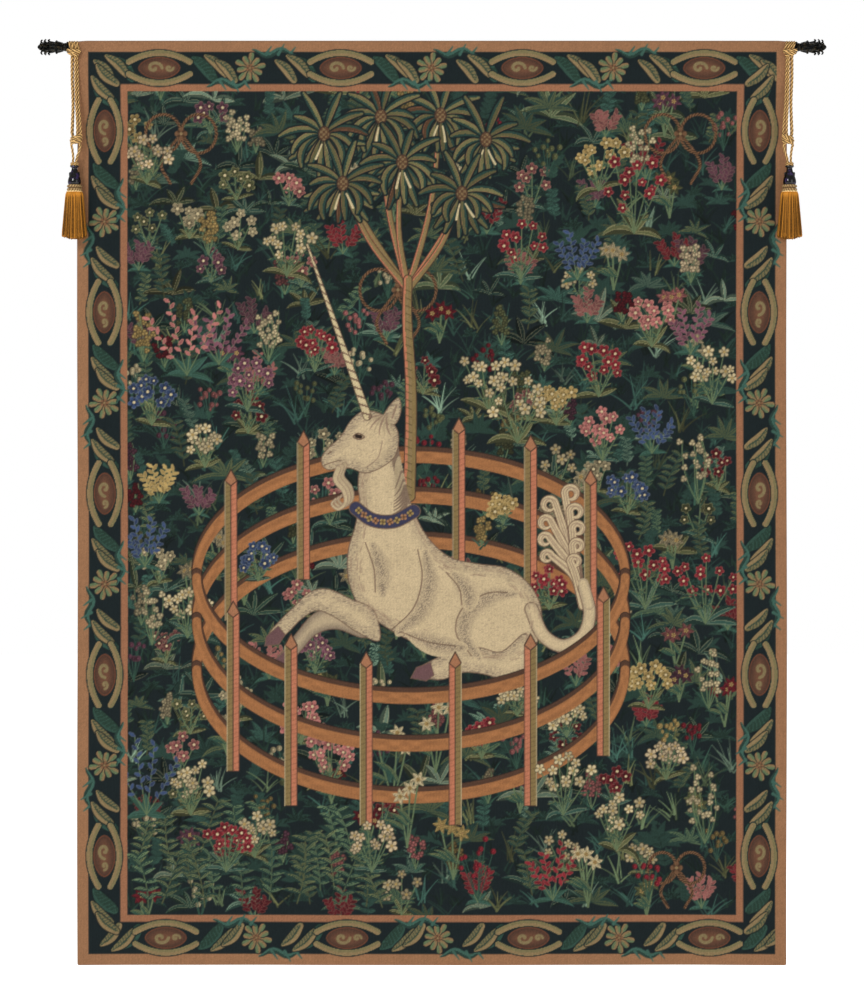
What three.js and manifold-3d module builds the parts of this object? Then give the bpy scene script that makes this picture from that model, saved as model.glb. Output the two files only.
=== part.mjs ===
// A lined tapestry that hangs on a metal rod, with a leaf finial on each rod end, a corded tassel
// tied beside each finial, and two wall brackets that the rod lifts out of.
// Millimetres. The origin lies on the wall, level with the rod's axis and midway along it.
// +X runs to the right of someone facing the hanging, -Y comes out towards them and +Z is up.

import * as THREE from "three";
import { mergeVertices } from "three/addons/utils/BufferGeometryUtils.js";
import Module from "manifold-3d";

const wasm = await Module();
wasm.setup();

// ---------------------------------------------------------------- driving dimensions

const GAP = 0.3; // left between pieces that touch

const PANEL_WIDTH = 1000;
const PANEL_HEIGHT = 1302;
const PANEL_ABOVE_ROD = 7.8; // the top edge over the rod's axis
const CLOTH = 1.4; // the woven cloth
const TURNED_CLOTH = 1.0; // the same cloth pressed flat where it is turned under
const TURN_UNDER = 18; // width of the turned edge
const LINING = 0.8;
const LINING_INSET = 9; // from the panel's edges

const WALL_TO_ROD = 25;
const ROD_RADIUS = 5;
const ROD_HALF_LENGTH = 524;

const SLEEVE_HALF_LENGTH = 445;
const SLEEVE_CLOTH = 0.8;
const SLEEVE_BORE = 6.1; // radius of the pocket where it passes round the rod
const SLEEVE_BOTTOM = -50;

const HOOK_X = 472; // the bracket's middle, from the hanging's middle
const HOOK_WIDTH = 12;
const HOOK_CLOTH_GAP = 0.4;
const HOOK_BORE = ROD_RADIUS + GAP;
const HOOK_STEEL = 1.5;
const HOOK_OUTER = HOOK_BORE + HOOK_STEEL;
const HOOK_FOOT = { thick: 2, top: -5, bottom: -24 };
const HOOK_ARM = { thick: 2.4, intoCup: 0.7 };
const PLATE = { width: 24, top: 6.5, bottom: -57, thick: 2.5, corner: 6 };
const SCREW = { head: 4.2, headHeight: 2.2, shank: 2, point: 5, length: 26, up: 0, down: -42 };

const FINIAL_START = 512; // where the ferrule meets the knotted cord
const FINIAL_TIP = 556;
const LEAF_END = 546; // the face that the bud sits on
const LEAVES = 6;

const CORD = 3.6; // diameter of the twisted cord
const TASSEL_X = 502.5; // the tassel's axis, from the hanging's middle
const TASSEL_Y = -40;
const HITCH = { inner: 500.8, outer: 511.6, turns: 3, foot: -14.2 };
const KNOT = { z: -132, radius: 7, halfDepth: 6 };
const COLLAR = { top: -164.3, bottom: -168.2, radius: 6.3 };
const HEAD_BOTTOM = -195;
const BAND = { top: -195.3, bottom: -205, radius: 10 };
const SPIGOT = { radius: 6, bottom: -215 };
const SKIRT = { top: -205.3, bottom: -271.3 };
const BORE = ROD_RADIUS + GAP; // of the ferrule, the leaf casting and the hitch's turns

// The cloth hangs plumb under the rod and bulges forward over the rod and the hooks.
const ROD_Y = -WALL_TO_ROD;
const LINING_BACK_AT_ROD = ROD_Y - HOOK_OUTER - HOOK_CLOTH_GAP;
const BULGE_FROM = -30; // height where the bulge starts to fall back
const BULGE_TO = -100; // height where the cloth is plumb
const PLUMB_BACK = -22.2; // the lining's back face below the bulge

const PANEL_TOP = PANEL_ABOVE_ROD;
const PANEL_BOTTOM = PANEL_TOP - PANEL_HEIGHT;
const HALF_WIDTH = PANEL_WIDTH / 2;

// Depths of the layers in front of the lining's back face.
const LINING_FRONT = LINING;
const TURN_BACK = LINING_FRONT + GAP;
const TURN_FRONT = TURN_BACK + TURNED_CLOTH;
const CLOTH_BACK = TURN_FRONT + GAP;
const CLOTH_FRONT = CLOTH_BACK + CLOTH;

// ---------------------------------------------------------------- materials

const finish = (color, roughness, metalness) =>
  new THREE.MeshStandardMaterial({ color, roughness, metalness });

const woven = () => finish(0x3b3a30, 0.95, 0);
const liningCloth = () => finish(0xb9a98a, 0.95, 0);
const blackMetal = () => finish(0x14181a, 0.45, 0.9);
const steel = () => finish(0x8d8f92, 0.35, 1);
const goldCord = () => finish(0xc59a55, 0.7, 0);
const lacquer = () => finish(0x0d0a12, 0.15, 0.1);

// ---------------------------------------------------------------- solids

function toSolid(geometry) {
  const bare = geometry.index ? geometry.toNonIndexed() : geometry.clone();
  bare.deleteAttribute("normal");
  bare.deleteAttribute("uv");
  const merged = mergeVertices(bare, 1e-4);
  return new wasm.Manifold(
    new wasm.Mesh({
      numProp: 3,
      vertProperties: merged.attributes.position.array,
      triVerts: new Uint32Array(merged.index.array),
    }),
  );
}

function toGeometry(solid) {
  const mesh = solid.getMesh();
  const geometry = new THREE.BufferGeometry();
  const positions = new THREE.BufferAttribute(mesh.vertProperties, mesh.numProp);
  geometry.setAttribute("position", positions);
  geometry.setIndex(new THREE.BufferAttribute(mesh.triVerts, 1));
  geometry.computeVertexNormals();
  return geometry;
}

const join = (...geometries) =>
  toGeometry(geometries.map(toSolid).reduce((all, next) => all.add(next)));

const cut = (geometry, ...tools) =>
  toGeometry(tools.map(toSolid).reduce((left, tool) => left.subtract(tool), toSolid(geometry)));

// A profile in the Y-Z plane, given as [y, z] pairs, carried along X from x0 to x1.
const ALONG_X = new THREE.Matrix4().makeBasis(
  new THREE.Vector3(0, 1, 0),
  new THREE.Vector3(0, 0, 1),
  new THREE.Vector3(1, 0, 0),
);

function prismX(points, x0, x1, hole) {
  const shape = new THREE.Shape(points.map(([y, z]) => new THREE.Vector2(y, z)));
  if (hole) shape.holes.push(new THREE.Path(hole.map(([y, z]) => new THREE.Vector2(y, z))));
  const geometry = new THREE.ExtrudeGeometry(shape, { depth: x1 - x0, bevelEnabled: false });
  return geometry.applyMatrix4(ALONG_X).translate(x0, 0, 0);
}

function box(x0, x1, y0, y1, z0, z1) {
  const geometry = new THREE.BoxGeometry(Math.abs(x1 - x0), Math.abs(y1 - y0), Math.abs(z1 - z0));
  return geometry.translate((x0 + x1) / 2, (y0 + y1) / 2, (z0 + z1) / 2);
}

// A profile of [radius, height] pairs turned about the Z axis.
function turned(profile, sides) {
  const points = profile.map(([r, z]) => new THREE.Vector2(r, z));
  return new THREE.LatheGeometry(points, sides).rotateX(Math.PI / 2);
}

// The same, turned about the rod's axis, with heights measured outwards along X.
function turnedOnRod(profile, sides, side) {
  return turned(profile, sides).rotateY((side * Math.PI) / 2).translate(0, ROD_Y, 0);
}

// Rings of equal length joined into one closed body, the first and last ring capped.
function loft(rings) {
  const n = rings[0].length;
  const vertices = rings.flat(2);
  const triangles = [];
  for (let i = 0; i + 1 < rings.length; i++)
    for (let j = 0; j < n; j++) {
      const k = (j + 1) % n;
      const [a, b] = [i * n, (i + 1) * n];
      triangles.push(a + j, a + k, b + k, a + j, b + k, b + j);
    }
  const last = (rings.length - 1) * n;
  for (let j = 1; j + 1 < n; j++) {
    triangles.push(0, j + 1, j);
    triangles.push(last, last + j, last + j + 1);
  }
  const geometry = new THREE.BufferGeometry();
  geometry.setAttribute("position", new THREE.Float32BufferAttribute(vertices, 3));
  geometry.setIndex(triangles);
  geometry.computeVertexNormals();
  return geometry;
}

// ---------------------------------------------------------------- the hanging cloth

const smooth = (t) => t * t * (3 - 2 * t);

// The lining's back face at a height.
function backFace(z) {
  const t = THREE.MathUtils.clamp((BULGE_FROM - z) / (BULGE_FROM - BULGE_TO), 0, 1);
  return THREE.MathUtils.lerp(LINING_BACK_AT_ROD, PLUMB_BACK, smooth(t));
}

// A layer of cloth between two depths, as a profile that follows the bulge.
const BULGE_STEPS = 7;
function layer(depth0, depth1, z0, z1) {
  const heights = [z1];
  for (let i = 0; i <= BULGE_STEPS; i++) {
    const z = THREE.MathUtils.lerp(BULGE_FROM, BULGE_TO, i / BULGE_STEPS);
    if (z < z1 && z > z0) heights.push(z);
  }
  heights.push(z0);
  const front = heights.map((z) => [backFace(z) - depth1, z]);
  const back = heights.map((z) => [backFace(z) - depth0, z]).reverse();
  return [...front, ...back];
}

// The woven cloth with its four edges turned under.
function wovenPanel() {
  const whole = prismX(layer(TURN_BACK, CLOTH_FRONT, PANEL_BOTTOM, PANEL_TOP), -HALF_WIDTH, HALF_WIDTH);
  const foldX = HALF_WIDTH - CLOTH;
  const fold = layer(TURN_FRONT, CLOTH_BACK, PANEL_BOTTOM + CLOTH, PANEL_TOP - CLOTH);
  const turnX = HALF_WIDTH - TURN_UNDER;
  const middle = layer(
    TURN_BACK - 1,
    CLOTH_BACK,
    PANEL_BOTTOM + TURN_UNDER,
    PANEL_TOP - TURN_UNDER,
  );
  return cut(whole, prismX(fold, -foldX, foldX), prismX(middle, -turnX, turnX));
}

function lining() {
  const x = HALF_WIDTH - LINING_INSET;
  const profile = layer(0, LINING_FRONT, PANEL_BOTTOM + LINING_INSET, PANEL_TOP - 1);
  return prismX(profile, -x, x);
}

// The pocket for the rod: a flat tube of cloth sewn to the lining, round where it passes the rod.
const SLEEVE_ARC_STEPS = 12;
const SLEEVE_SLACK = { z: -12, inset: 1, foot: 1.2 }; // where its back leaves the rod, and its foot's depth
function sleeveOutline(thickness, bottom) {
  const radius = SLEEVE_BORE + thickness;
  const points = [];
  for (let i = 0; i <= SLEEVE_ARC_STEPS; i++) {
    const angle = (Math.PI * i) / SLEEVE_ARC_STEPS;
    points.push([ROD_Y + radius * Math.cos(angle), radius * Math.sin(angle)]);
  }
  const front = GAP + SLEEVE_CLOTH - thickness;
  for (const z of [BULGE_FROM, -40, bottom]) points.push([backFace(z) + front, z]);
  points.push([backFace(bottom) + front + SLEEVE_SLACK.foot + 2 * thickness, bottom]);
  points.push([ROD_Y + radius - SLEEVE_SLACK.inset, SLEEVE_SLACK.z]);
  return points;
}

function rodSleeve() {
  return prismX(
    sleeveOutline(SLEEVE_CLOTH, SLEEVE_BOTTOM),
    -SLEEVE_HALF_LENGTH,
    SLEEVE_HALF_LENGTH,
    sleeveOutline(0, SLEEVE_BOTTOM + SLEEVE_CLOTH).reverse(),
  );
}

// ---------------------------------------------------------------- rod and wall brackets

function rod() {
  const chamfer = 0.8;
  const profile = [
    [0, -ROD_HALF_LENGTH],
    [ROD_RADIUS - chamfer, -ROD_HALF_LENGTH],
    [ROD_RADIUS, -ROD_HALF_LENGTH + chamfer],
    [ROD_RADIUS, ROD_HALF_LENGTH - chamfer],
    [ROD_RADIUS - chamfer, ROD_HALF_LENGTH],
    [0, ROD_HALF_LENGTH],
  ];
  return turnedOnRod(profile, 24, 1);
}

function wallPlate(x) {
  const { width, top, bottom, thick, corner } = PLATE;
  const half = width / 2;
  const shape = new THREE.Shape();
  shape.moveTo(-half + corner, bottom);
  shape.lineTo(half - corner, bottom);
  shape.absarc(half - corner, bottom + corner, corner, -Math.PI / 2, 0);
  shape.absarc(half - corner, top - corner, corner, 0, Math.PI / 2);
  shape.absarc(-half + corner, top - corner, corner, Math.PI / 2, Math.PI);
  shape.absarc(-half + corner, bottom + corner, corner, Math.PI, 1.5 * Math.PI);
  for (const z of [SCREW.up, SCREW.down]) {
    const hole = new THREE.Path();
    hole.absarc(0, z, SCREW.shank + GAP, 0, 2 * Math.PI, true);
    shape.holes.push(hole);
  }
  const options = { depth: thick, bevelEnabled: false, curveSegments: 5 };
  return new THREE.ExtrudeGeometry(shape, options).rotateX(Math.PI / 2).translate(x, 0, 0);
}

// A steel strip riveted to the plate: a foot, an arm and a cup that the rod drops into.
const CUP_STEPS = 14;
const CUP_LIP = THREE.MathUtils.degToRad(18); // how far each lip rises past the rod's side
function hook(x) {
  const [x0, x1] = [x - HOOK_WIDTH / 2, x + HOOK_WIDTH / 2];
  const arc = (radius) => {
    const points = [];
    for (let i = 0; i <= CUP_STEPS; i++) {
      const angle = Math.PI - CUP_LIP + ((Math.PI + 2 * CUP_LIP) * i) / CUP_STEPS;
      points.push([ROD_Y + radius * Math.cos(angle), radius * Math.sin(angle)]);
    }
    return points;
  };
  const cup = prismX([...arc(HOOK_OUTER), ...arc(HOOK_BORE).reverse()], x0, x1);
  const footBack = -PLATE.thick - GAP;
  const footFront = footBack - HOOK_FOOT.thick;
  const foot = box(x0, x1, footFront, footBack, HOOK_FOOT.bottom, HOOK_FOOT.top);
  const armTop = -HOOK_OUTER + HOOK_ARM.intoCup;
  const arm = box(x0, x1, ROD_Y, footFront + 1, armTop - HOOK_ARM.thick, armTop);
  return join(cup, foot, arm);
}

function wallScrew(x, z) {
  const { head, headHeight, shank, point, length } = SCREW;
  const front = PLATE.thick + GAP;
  const profile = [
    [0, -length],
    [shank, -length + point],
    [shank, front],
    [head, front],
    [head, front + headHeight * 0.5],
    [head * 0.6, front + headHeight],
    [0, front + headHeight],
  ];
  return turned(profile, 12).rotateX(Math.PI / 2).translate(x, 0, z);
}

// ---------------------------------------------------------------- finials

// The threaded ferrule that screws onto the rod's end.
const FERRULE = { wall: 1, rim: 1.9, length: 7 };
function ferrule(side) {
  const outer = BORE + FERRULE.wall;
  const rim = BORE + FERRULE.rim;
  const profile = [
    [BORE, FINIAL_START],
    [outer, FINIAL_START],
    [rim, FINIAL_START + 1],
    [rim, FINIAL_START + 2.2],
    [outer, FINIAL_START + 3.2],
    [outer, FINIAL_START + FERRULE.length],
    [BORE, FINIAL_START + FERRULE.length],
    [BORE, FINIAL_START],
  ];
  return turnedOnRod(profile, 24, side);
}

// A closed profile of [radius, distance along X, lobe height] turned round the rod's axis, its
// radius swelling into lobes by that height.
function lobedOnRod(profile, lobes, sides, side) {
  const vertices = [];
  const triangles = [];
  for (const [radius, along, lobe] of profile)
    for (let j = 0; j < sides; j++) {
      const angle = (side * 2 * Math.PI * j) / sides;
      const r = radius + lobe * Math.cos(lobes * angle);
      vertices.push(side * along, ROD_Y + r * Math.cos(angle), r * Math.sin(angle));
    }
  for (let i = 0; i < profile.length; i++)
    for (let j = 0; j < sides; j++) {
      const [a, b] = [i * sides, ((i + 1) % profile.length) * sides];
      const k = (j + 1) % sides;
      triangles.push(a + j, a + k, b + k, a + j, b + k, b + j);
    }
  const geometry = new THREE.BufferGeometry();
  geometry.setAttribute("position", new THREE.Float32BufferAttribute(vertices, 3));
  geometry.setIndex(triangles);
  geometry.computeVertexNormals();
  return geometry;
}

// The leaf casting: a bell of overlapping leaves whose tips flare in two tiers.
const STUD = { radius: 2, depth: 20 }; // of the bud, where it screws into the leaves
function leafCasting(side) {
  const start = FINIAL_START + FERRULE.length + GAP;
  const studBore = STUD.radius + GAP;
  const profile = [
    [BORE, start, 0],
    [BORE + FERRULE.wall, start, 0],
    [7.0, 524, 0.2],
    [8.0, 532, 0.6],
    [9.3, 538, 1.2],
    [9.5, 540.5, 1.3],
    [8.0, 540.8, 0.4],
    [8.2, 542, 0.5],
    [9.3, 544.5, 1.3],
    [9.0, LEAF_END, 1.2],
    [studBore, LEAF_END, 0],
    [studBore, ROD_HALF_LENGTH + 3, 0],
    [BORE, ROD_HALF_LENGTH + 1, 0],
  ];
  return lobedOnRod(profile, LEAVES, 4 * LEAVES, side);
}

// The closed bud at the end, on a stud that screws into the leaf casting.
function bud(side) {
  const seat = LEAF_END + GAP;
  const foot = seat - STUD.depth + 2 * GAP;
  const profile = [
    [0, foot],
    [STUD.radius, foot],
    [STUD.radius, seat],
    [5, seat],
    [5.6, seat + 3],
    [4.2, seat + 6.5],
    [1.8, FINIAL_TIP - 0.6],
    [0, FINIAL_TIP],
  ];
  return turnedOnRod(profile, 16, side);
}

// ---------------------------------------------------------------- cords and tassels

// A cord's solid along its route.
const CORD_SIDES = 8;
const CORD_STEP = 2.5 * CORD;
function cordSolid(route) {
  const curve = new THREE.CatmullRomCurve3(route.map((p) => new THREE.Vector3(...p)));
  const section = new THREE.Shape();
  for (let i = 0; i < CORD_SIDES; i++) {
    const angle = (2 * Math.PI * i) / CORD_SIDES;
    const [u, v] = [(CORD / 2) * Math.cos(angle), (CORD / 2) * Math.sin(angle)];
    if (i) section.lineTo(u, v);
    else section.moveTo(u, v);
  }
  const steps = Math.max(4, Math.round(curve.getLength() / CORD_STEP));
  return new THREE.ExtrudeGeometry(section, { steps, extrudePath: curve, bevelEnabled: false });
}

// Routes run downwards, with x as the distance from the hanging's middle on either side.
const STRAND_ROUTES = {
  outer_front: [
    [506.2, -40.2, -14.8],
    [506.2, -40.3, -45],
    [504.9, -40.3, -80],
    [505.7, -40.2, -108],
    [506.0, -39.8, -124.4],
  ],
  outer_back: [
    [505.2, -35.9, -14.8],
    [505.4, -35.9, -45],
    [504.3, -35.9, -80],
    [505.0, -35.9, -108],
    [505.2, -35.6, -124.4],
  ],
  inner_front: [
    [501.2, -41.6, -14.8],
    [501.1, -41.6, -45],
    [500.0, -41.5, -80],
    [498.6, -41.4, -108],
    [498.6, -41.4, -124.4],
  ],
  inner_back: [
    [499.2, -38.3, -14.8],
    [498.3, -38.3, -45],
    [497.2, -38.4, -80],
    [494.8, -38.8, -108],
    [494.6, -38.6, -124.4],
  ],
};

const LEG_ROUTES = {
  outer_leg: [
    [506.7, -40, -139.2],
    [506.0, -40, -142.5],
    [505.0, -40, -149],
    [504.2, -40, -157],
    [504.3, -40, -164.0],
  ],
  inner_leg: [
    [494.9, -40, -138.4],
    [494.8, -40, -142.5],
    [496.3, -40, -149],
    [498.8, -40, -156.5],
    [500.4, -40, -163.8],
  ],
};

// The cord's hitch round the rod: close turns, with a bar and a lobe in front of the panel's corner.
const HITCH_TURN = [
  [0.12, 0.78], // a turn's section: how far along its pitch, and its height in cord diameters
  [0.5, 1],
  [0.88, 0.78],
];
const HITCH_BAR = { inner: 494.8, outer: 512.4, top: -6.5, deep: 6.2 };
const HITCH_LOBE = { outer: 500, top: 5.5, bottom: -8, deep: 3.6 };
function hitch(side) {
  const { inner, outer, turns, foot } = HITCH;
  const pitch = (outer - inner) / turns;
  const profile = [[BORE, inner]];
  for (let i = 0; i < turns; i++)
    for (const [along, high] of HITCH_TURN)
      profile.push([BORE + high * CORD, inner + (i + along) * pitch]);
  profile.push([BORE, outer], [BORE, inner]);
  const ring = turnedOnRod(profile, 20, side);
  const clothFront = LINING_BACK_AT_ROD - CLOTH_FRONT - GAP;
  const [barIn, barOut] = [side * HITCH_BAR.inner, side * HITCH_BAR.outer];
  const bar = box(barIn, barOut, clothFront - HITCH_BAR.deep, clothFront, foot, HITCH_BAR.top);
  const [linkIn, linkOut] = [side * (inner + 0.2), side * (outer - 0.2)];
  const link = box(linkIn, linkOut, clothFront - 3, ROD_Y - 2, foot + 1.5, HITCH_BAR.top - GAP);
  const lobeFront = clothFront - HITCH_LOBE.deep;
  const lobe = box(barIn, side * HITCH_LOBE.outer, lobeFront, clothFront, HITCH_LOBE.bottom, HITCH_LOBE.top);
  return join(ring, bar, link, lobe);
}

// The knot is round about the axis that the tassel sways on.
function knot(side) {
  const { z, radius, halfDepth } = KNOT;
  const profile = [
    [0, -halfDepth],
    [radius * 0.7, -halfDepth],
    [radius, -halfDepth * 0.45],
    [radius, halfDepth * 0.45],
    [radius * 0.7, halfDepth],
    [0, halfDepth],
  ];
  return turned(profile, 20).rotateX(Math.PI / 2).translate(side * TASSEL_X, TASSEL_Y, z);
}

const onTassel = (geometry, side) => geometry.translate(side * TASSEL_X, TASSEL_Y, 0);

function collar(side) {
  const { top, bottom, radius } = COLLAR;
  const mid = (top + bottom) / 2;
  const profile = [
    [0, bottom],
    [radius - 1, bottom],
    [radius, mid],
    [radius - 1, top],
    [0, top],
  ];
  return onTassel(turned(profile, 20), side);
}

// The lacquered urn, with a spigot below it that the band and the skirt are wound on.
const URN = [
  [8.2, 0], // radius, and height over the urn's foot
  [9, 2.6],
  [8.6, 6],
  [6.8, 11],
  [5.4, 15],
  [5.0, 19],
  [3.7, 21],
];
const URN_LIP = { neck: 3.9, radius: 6, thick: 2, under: 1.2 };
function head(side) {
  const top = COLLAR.bottom - GAP;
  const lip = top - URN_LIP.thick;
  const profile = [
    [0, SPIGOT.bottom],
    [SPIGOT.radius, SPIGOT.bottom],
    [SPIGOT.radius, HEAD_BOTTOM],
    ...URN.map(([radius, height]) => [radius, HEAD_BOTTOM + height]),
    [URN_LIP.neck, lip - URN_LIP.under],
    [URN_LIP.radius, lip],
    [URN_LIP.radius, top],
    [0, top],
  ];
  return onTassel(turned(profile, 24), side);
}

// Two rolls of braid wound on the spigot.
const ROLL = { middle: 2.4, rounding: 1.2, waist: 0.7 };
function band(side) {
  const { top, bottom, radius } = BAND;
  const bore = SPIGOT.radius + GAP;
  const profile = [
    [bore, bottom],
    [radius - ROLL.rounding, bottom],
    [radius, bottom + ROLL.middle],
    [radius - ROLL.waist, (top + bottom) / 2],
    [radius, top - ROLL.middle],
    [radius - ROLL.rounding, top],
    [bore, top],
    [bore, bottom],
  ];
  return onTassel(turned(profile, 24), side);
}

// The fringe skirt: wide across the hanging and flattened where it leans on the cloth.
const SKIRT_RINGS = [
  { t: 0, across: 12.2, deep: 10 },
  { t: 0.08, across: 13.4, deep: 10.9 },
  { t: 0.45, across: 15.6, deep: 11.8 },
  { t: 1, across: 18.4, deep: 12.4 },
];
function skirt(side) {
  const sides = 20;
  const rings = SKIRT_RINGS.map(({ t, across, deep }) => {
    const z = THREE.MathUtils.lerp(SKIRT.top, SKIRT.bottom, t);
    return Array.from({ length: sides }, (_, i) => {
      const angle = (-2 * Math.PI * i) / sides;
      return [across * Math.cos(angle), deep * Math.sin(angle), z];
    });
  });
  const bore = SPIGOT.radius + GAP;
  const socket = turned(
    [
      [0, SPIGOT.bottom - GAP],
      [bore, SPIGOT.bottom - GAP],
      [bore, SKIRT.top + 1],
      [0, SKIRT.top + 1],
    ],
    24,
  );
  return onTassel(cut(loft(rings), socket), side);
}

// ---------------------------------------------------------------- assembly

const hanging = new THREE.Group();

function add(name, geometry, material) {
  const mesh = new THREE.Mesh(geometry, material);
  mesh.name = name;
  hanging.add(mesh);
}

add("woven_panel", wovenPanel(), woven());
add("panel_lining", lining(), liningCloth());
add("rod_sleeve", rodSleeve(), liningCloth());
add("rod", rod(), blackMetal());

for (const [name, side] of [
  ["left", -1],
  ["right", 1],
]) {
  const mirrored = (route) => route.map(([x, y, z]) => [side * x, y, z]);
  add(`${name}_wall_plate`, wallPlate(side * HOOK_X), blackMetal());
  add(`${name}_rod_hook`, hook(side * HOOK_X), blackMetal());
  add(`${name}_upper_screw`, wallScrew(side * HOOK_X, SCREW.up), steel());
  add(`${name}_lower_screw`, wallScrew(side * HOOK_X, SCREW.down), steel());
  add(`${name}_finial_ferrule`, ferrule(side), blackMetal());
  add(`${name}_finial_leaves`, leafCasting(side), blackMetal());
  add(`${name}_finial_bud`, bud(side), blackMetal());
  add(`${name}_cord_hitch`, hitch(side), goldCord());
  for (const [strand, route] of Object.entries(STRAND_ROUTES))
    add(`${name}_cord_${strand}`, cordSolid(mirrored(route)), goldCord());
  add(`${name}_cord_knot`, knot(side), goldCord());
  for (const [leg, route] of Object.entries(LEG_ROUTES))
    add(`${name}_cord_${leg}`, cordSolid(mirrored(route)), goldCord());
  add(`${name}_tassel_collar`, collar(side), goldCord());
  add(`${name}_tassel_head`, head(side), lacquer());
  add(`${name}_tassel_band`, band(side), goldCord());
  add(`${name}_tassel_skirt`, skirt(side), goldCord());
}

export default hanging;
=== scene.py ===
import math

import bmesh
import bpy
import numpy as np
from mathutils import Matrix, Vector


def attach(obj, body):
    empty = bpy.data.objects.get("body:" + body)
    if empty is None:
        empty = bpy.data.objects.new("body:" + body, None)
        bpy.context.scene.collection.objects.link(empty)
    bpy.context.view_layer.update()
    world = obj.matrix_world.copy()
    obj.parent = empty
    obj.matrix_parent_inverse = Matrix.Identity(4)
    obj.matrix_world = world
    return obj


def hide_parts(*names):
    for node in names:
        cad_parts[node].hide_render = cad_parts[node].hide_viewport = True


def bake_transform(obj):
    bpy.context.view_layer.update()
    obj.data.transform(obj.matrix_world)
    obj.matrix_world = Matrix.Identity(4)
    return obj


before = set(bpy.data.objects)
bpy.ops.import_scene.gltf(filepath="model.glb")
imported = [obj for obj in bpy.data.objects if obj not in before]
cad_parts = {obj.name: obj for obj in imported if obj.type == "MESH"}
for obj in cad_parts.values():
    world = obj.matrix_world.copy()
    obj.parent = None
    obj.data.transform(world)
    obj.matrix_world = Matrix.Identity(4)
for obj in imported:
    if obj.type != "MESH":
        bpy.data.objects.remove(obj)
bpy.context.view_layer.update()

# Metres, in the frame's axes: the wall face is y = 0, the rod's axis is at z = 0, the front faces -Y.

MM = 0.001

PANEL_WIDTH = 1.0
PANEL_HEIGHT = 1.302
PANEL_TOP = 7.8 * MM
PANEL_BOTTOM = PANEL_TOP - PANEL_HEIGHT
FRONT_AT_ROD = -36.0 * MM  # the woven face, where it passes over the rod
FRONT_BELOW = -26.0 * MM  # and where it hangs plumb
BULGE_FROM = -30 * MM
BULGE_TO = -100 * MM
LINING_DEPTH = 3.8 * MM  # from the woven face to the lining's back face
ROD_Y = -25 * MM
ROD_RADIUS = 5 * MM
ROD_HALF_LENGTH = 524 * MM
TASSEL_X = 502.5 * MM
TASSEL_Y = -40 * MM
CORD = 3.6 * MM

SIDES = {"left": -1, "right": 1}


# ---------------------------------------------------------------- camera, light and floor

VIEW_HEIGHT = 1.4095  # what the picture's height shows at the panel
VIEW_CENTRE = -0.6384
LENS = 120
SENSOR = 36
FLOOR_Z = -1.50
FLOOR_RADIUS = 14


def camera():
    data = bpy.data.cameras.new("camera")
    data.lens = LENS
    data.sensor_width = SENSOR
    made = bpy.data.objects.new("camera", data)
    distance = VIEW_HEIGHT * LENS / SENSOR
    made.location = (0, FRONT_BELOW - distance, VIEW_CENTRE)
    made.rotation_euler = (math.pi / 2, 0, 0)
    bpy.context.collection.objects.link(made)
    bpy.context.scene.camera = made


def softbox(name, place, target, size, watts):
    data = bpy.data.lights.new(name, "AREA")
    data.shape = "SQUARE"
    data.size = size
    data.energy = watts
    made = bpy.data.objects.new(name, data)
    made.location = place
    made.rotation_euler = (Vector(target) - Vector(place)).to_track_quat("-Z", "Y").to_euler()
    bpy.context.collection.objects.link(made)


def studio():
    scene = bpy.context.scene
    scene.view_settings.view_transform = "Standard"
    world = bpy.data.worlds.new("studio")
    scene.world = world
    world.use_nodes = True
    tree = world.node_tree
    seen = add(tree, "Background", {"Color": (1, 1, 1, 1), "Strength": 1.0})
    ambient = add(tree, "Background", {"Color": (1, 1, 1, 1), "Strength": 0.36})
    eye = add(tree, "LightPath").outputs["Is Camera Ray"]
    both = add(tree, "MixShader", {0: eye, 1: ambient.outputs[0], 2: seen.outputs[0]})
    tree.links.new(both.outputs[0], tree.nodes["World Output"].inputs["Surface"])
    softbox("key", (-1.9, -3.2, 1.3), (0, 0, -0.6), 1.2, 60)
    softbox("fill", (2.6, -3.0, 0.2), (0, 0, -0.6), 2.2, 20)
    softbox("rear", (0.6, 2.8, 1.2), (0, 0, -0.5), 2.0, 45)


def floor():
    around = np.linspace(0, 2 * math.pi, 96, endpoint=False)
    ring = [(FLOOR_RADIUS * math.cos(a), FLOOR_RADIUS * math.sin(a), FLOOR_Z) for a in around]
    mesh = bpy.data.meshes.new("floor")
    mesh.from_pydata(ring, [], [range(len(ring))])
    made = bpy.data.objects.new("floor", mesh)
    bpy.context.collection.objects.link(made)
    mesh.materials.append(plaster())


# ---------------------------------------------------------------- nodes and meshes

def add(tree, kind, sockets=(), **settings):
    """Adds a shader node, with values or links for its sockets."""
    made = tree.nodes.new("ShaderNode" + kind)
    for name, value in settings.items():
        setattr(made, name, value)
    for name, value in dict(sockets).items():
        if isinstance(value, bpy.types.NodeSocket):
            tree.links.new(value, made.inputs[name])
        else:
            made.inputs[name].default_value = value
    return made


def linear(colour):
    """sRGB to scene-linear."""
    c = np.asarray(colour, float)
    return np.where(c < 0.04045, c / 12.92, ((c + 0.055) / 1.055) ** 2.4)


def rgba(colour):
    return (*linear(colour), 1.0)


def shader(name, roughness, **sockets):
    """A new material: its node tree and its Principled node."""
    made = bpy.data.materials.new(name)
    made.use_nodes = True
    base = made.node_tree.nodes["Principled BSDF"]
    base.inputs["Roughness"].default_value = roughness
    for socket, value in sockets.items():
        base.inputs[socket.replace("_", " ")].default_value = value
    return made, made.node_tree, base


def here(tree, stretch=(1, 1, 1)):
    place = add(tree, "TexCoord").outputs["Object"]
    return add(tree, "Mapping", {"Vector": place, "Scale": stretch}).outputs[0]


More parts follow.
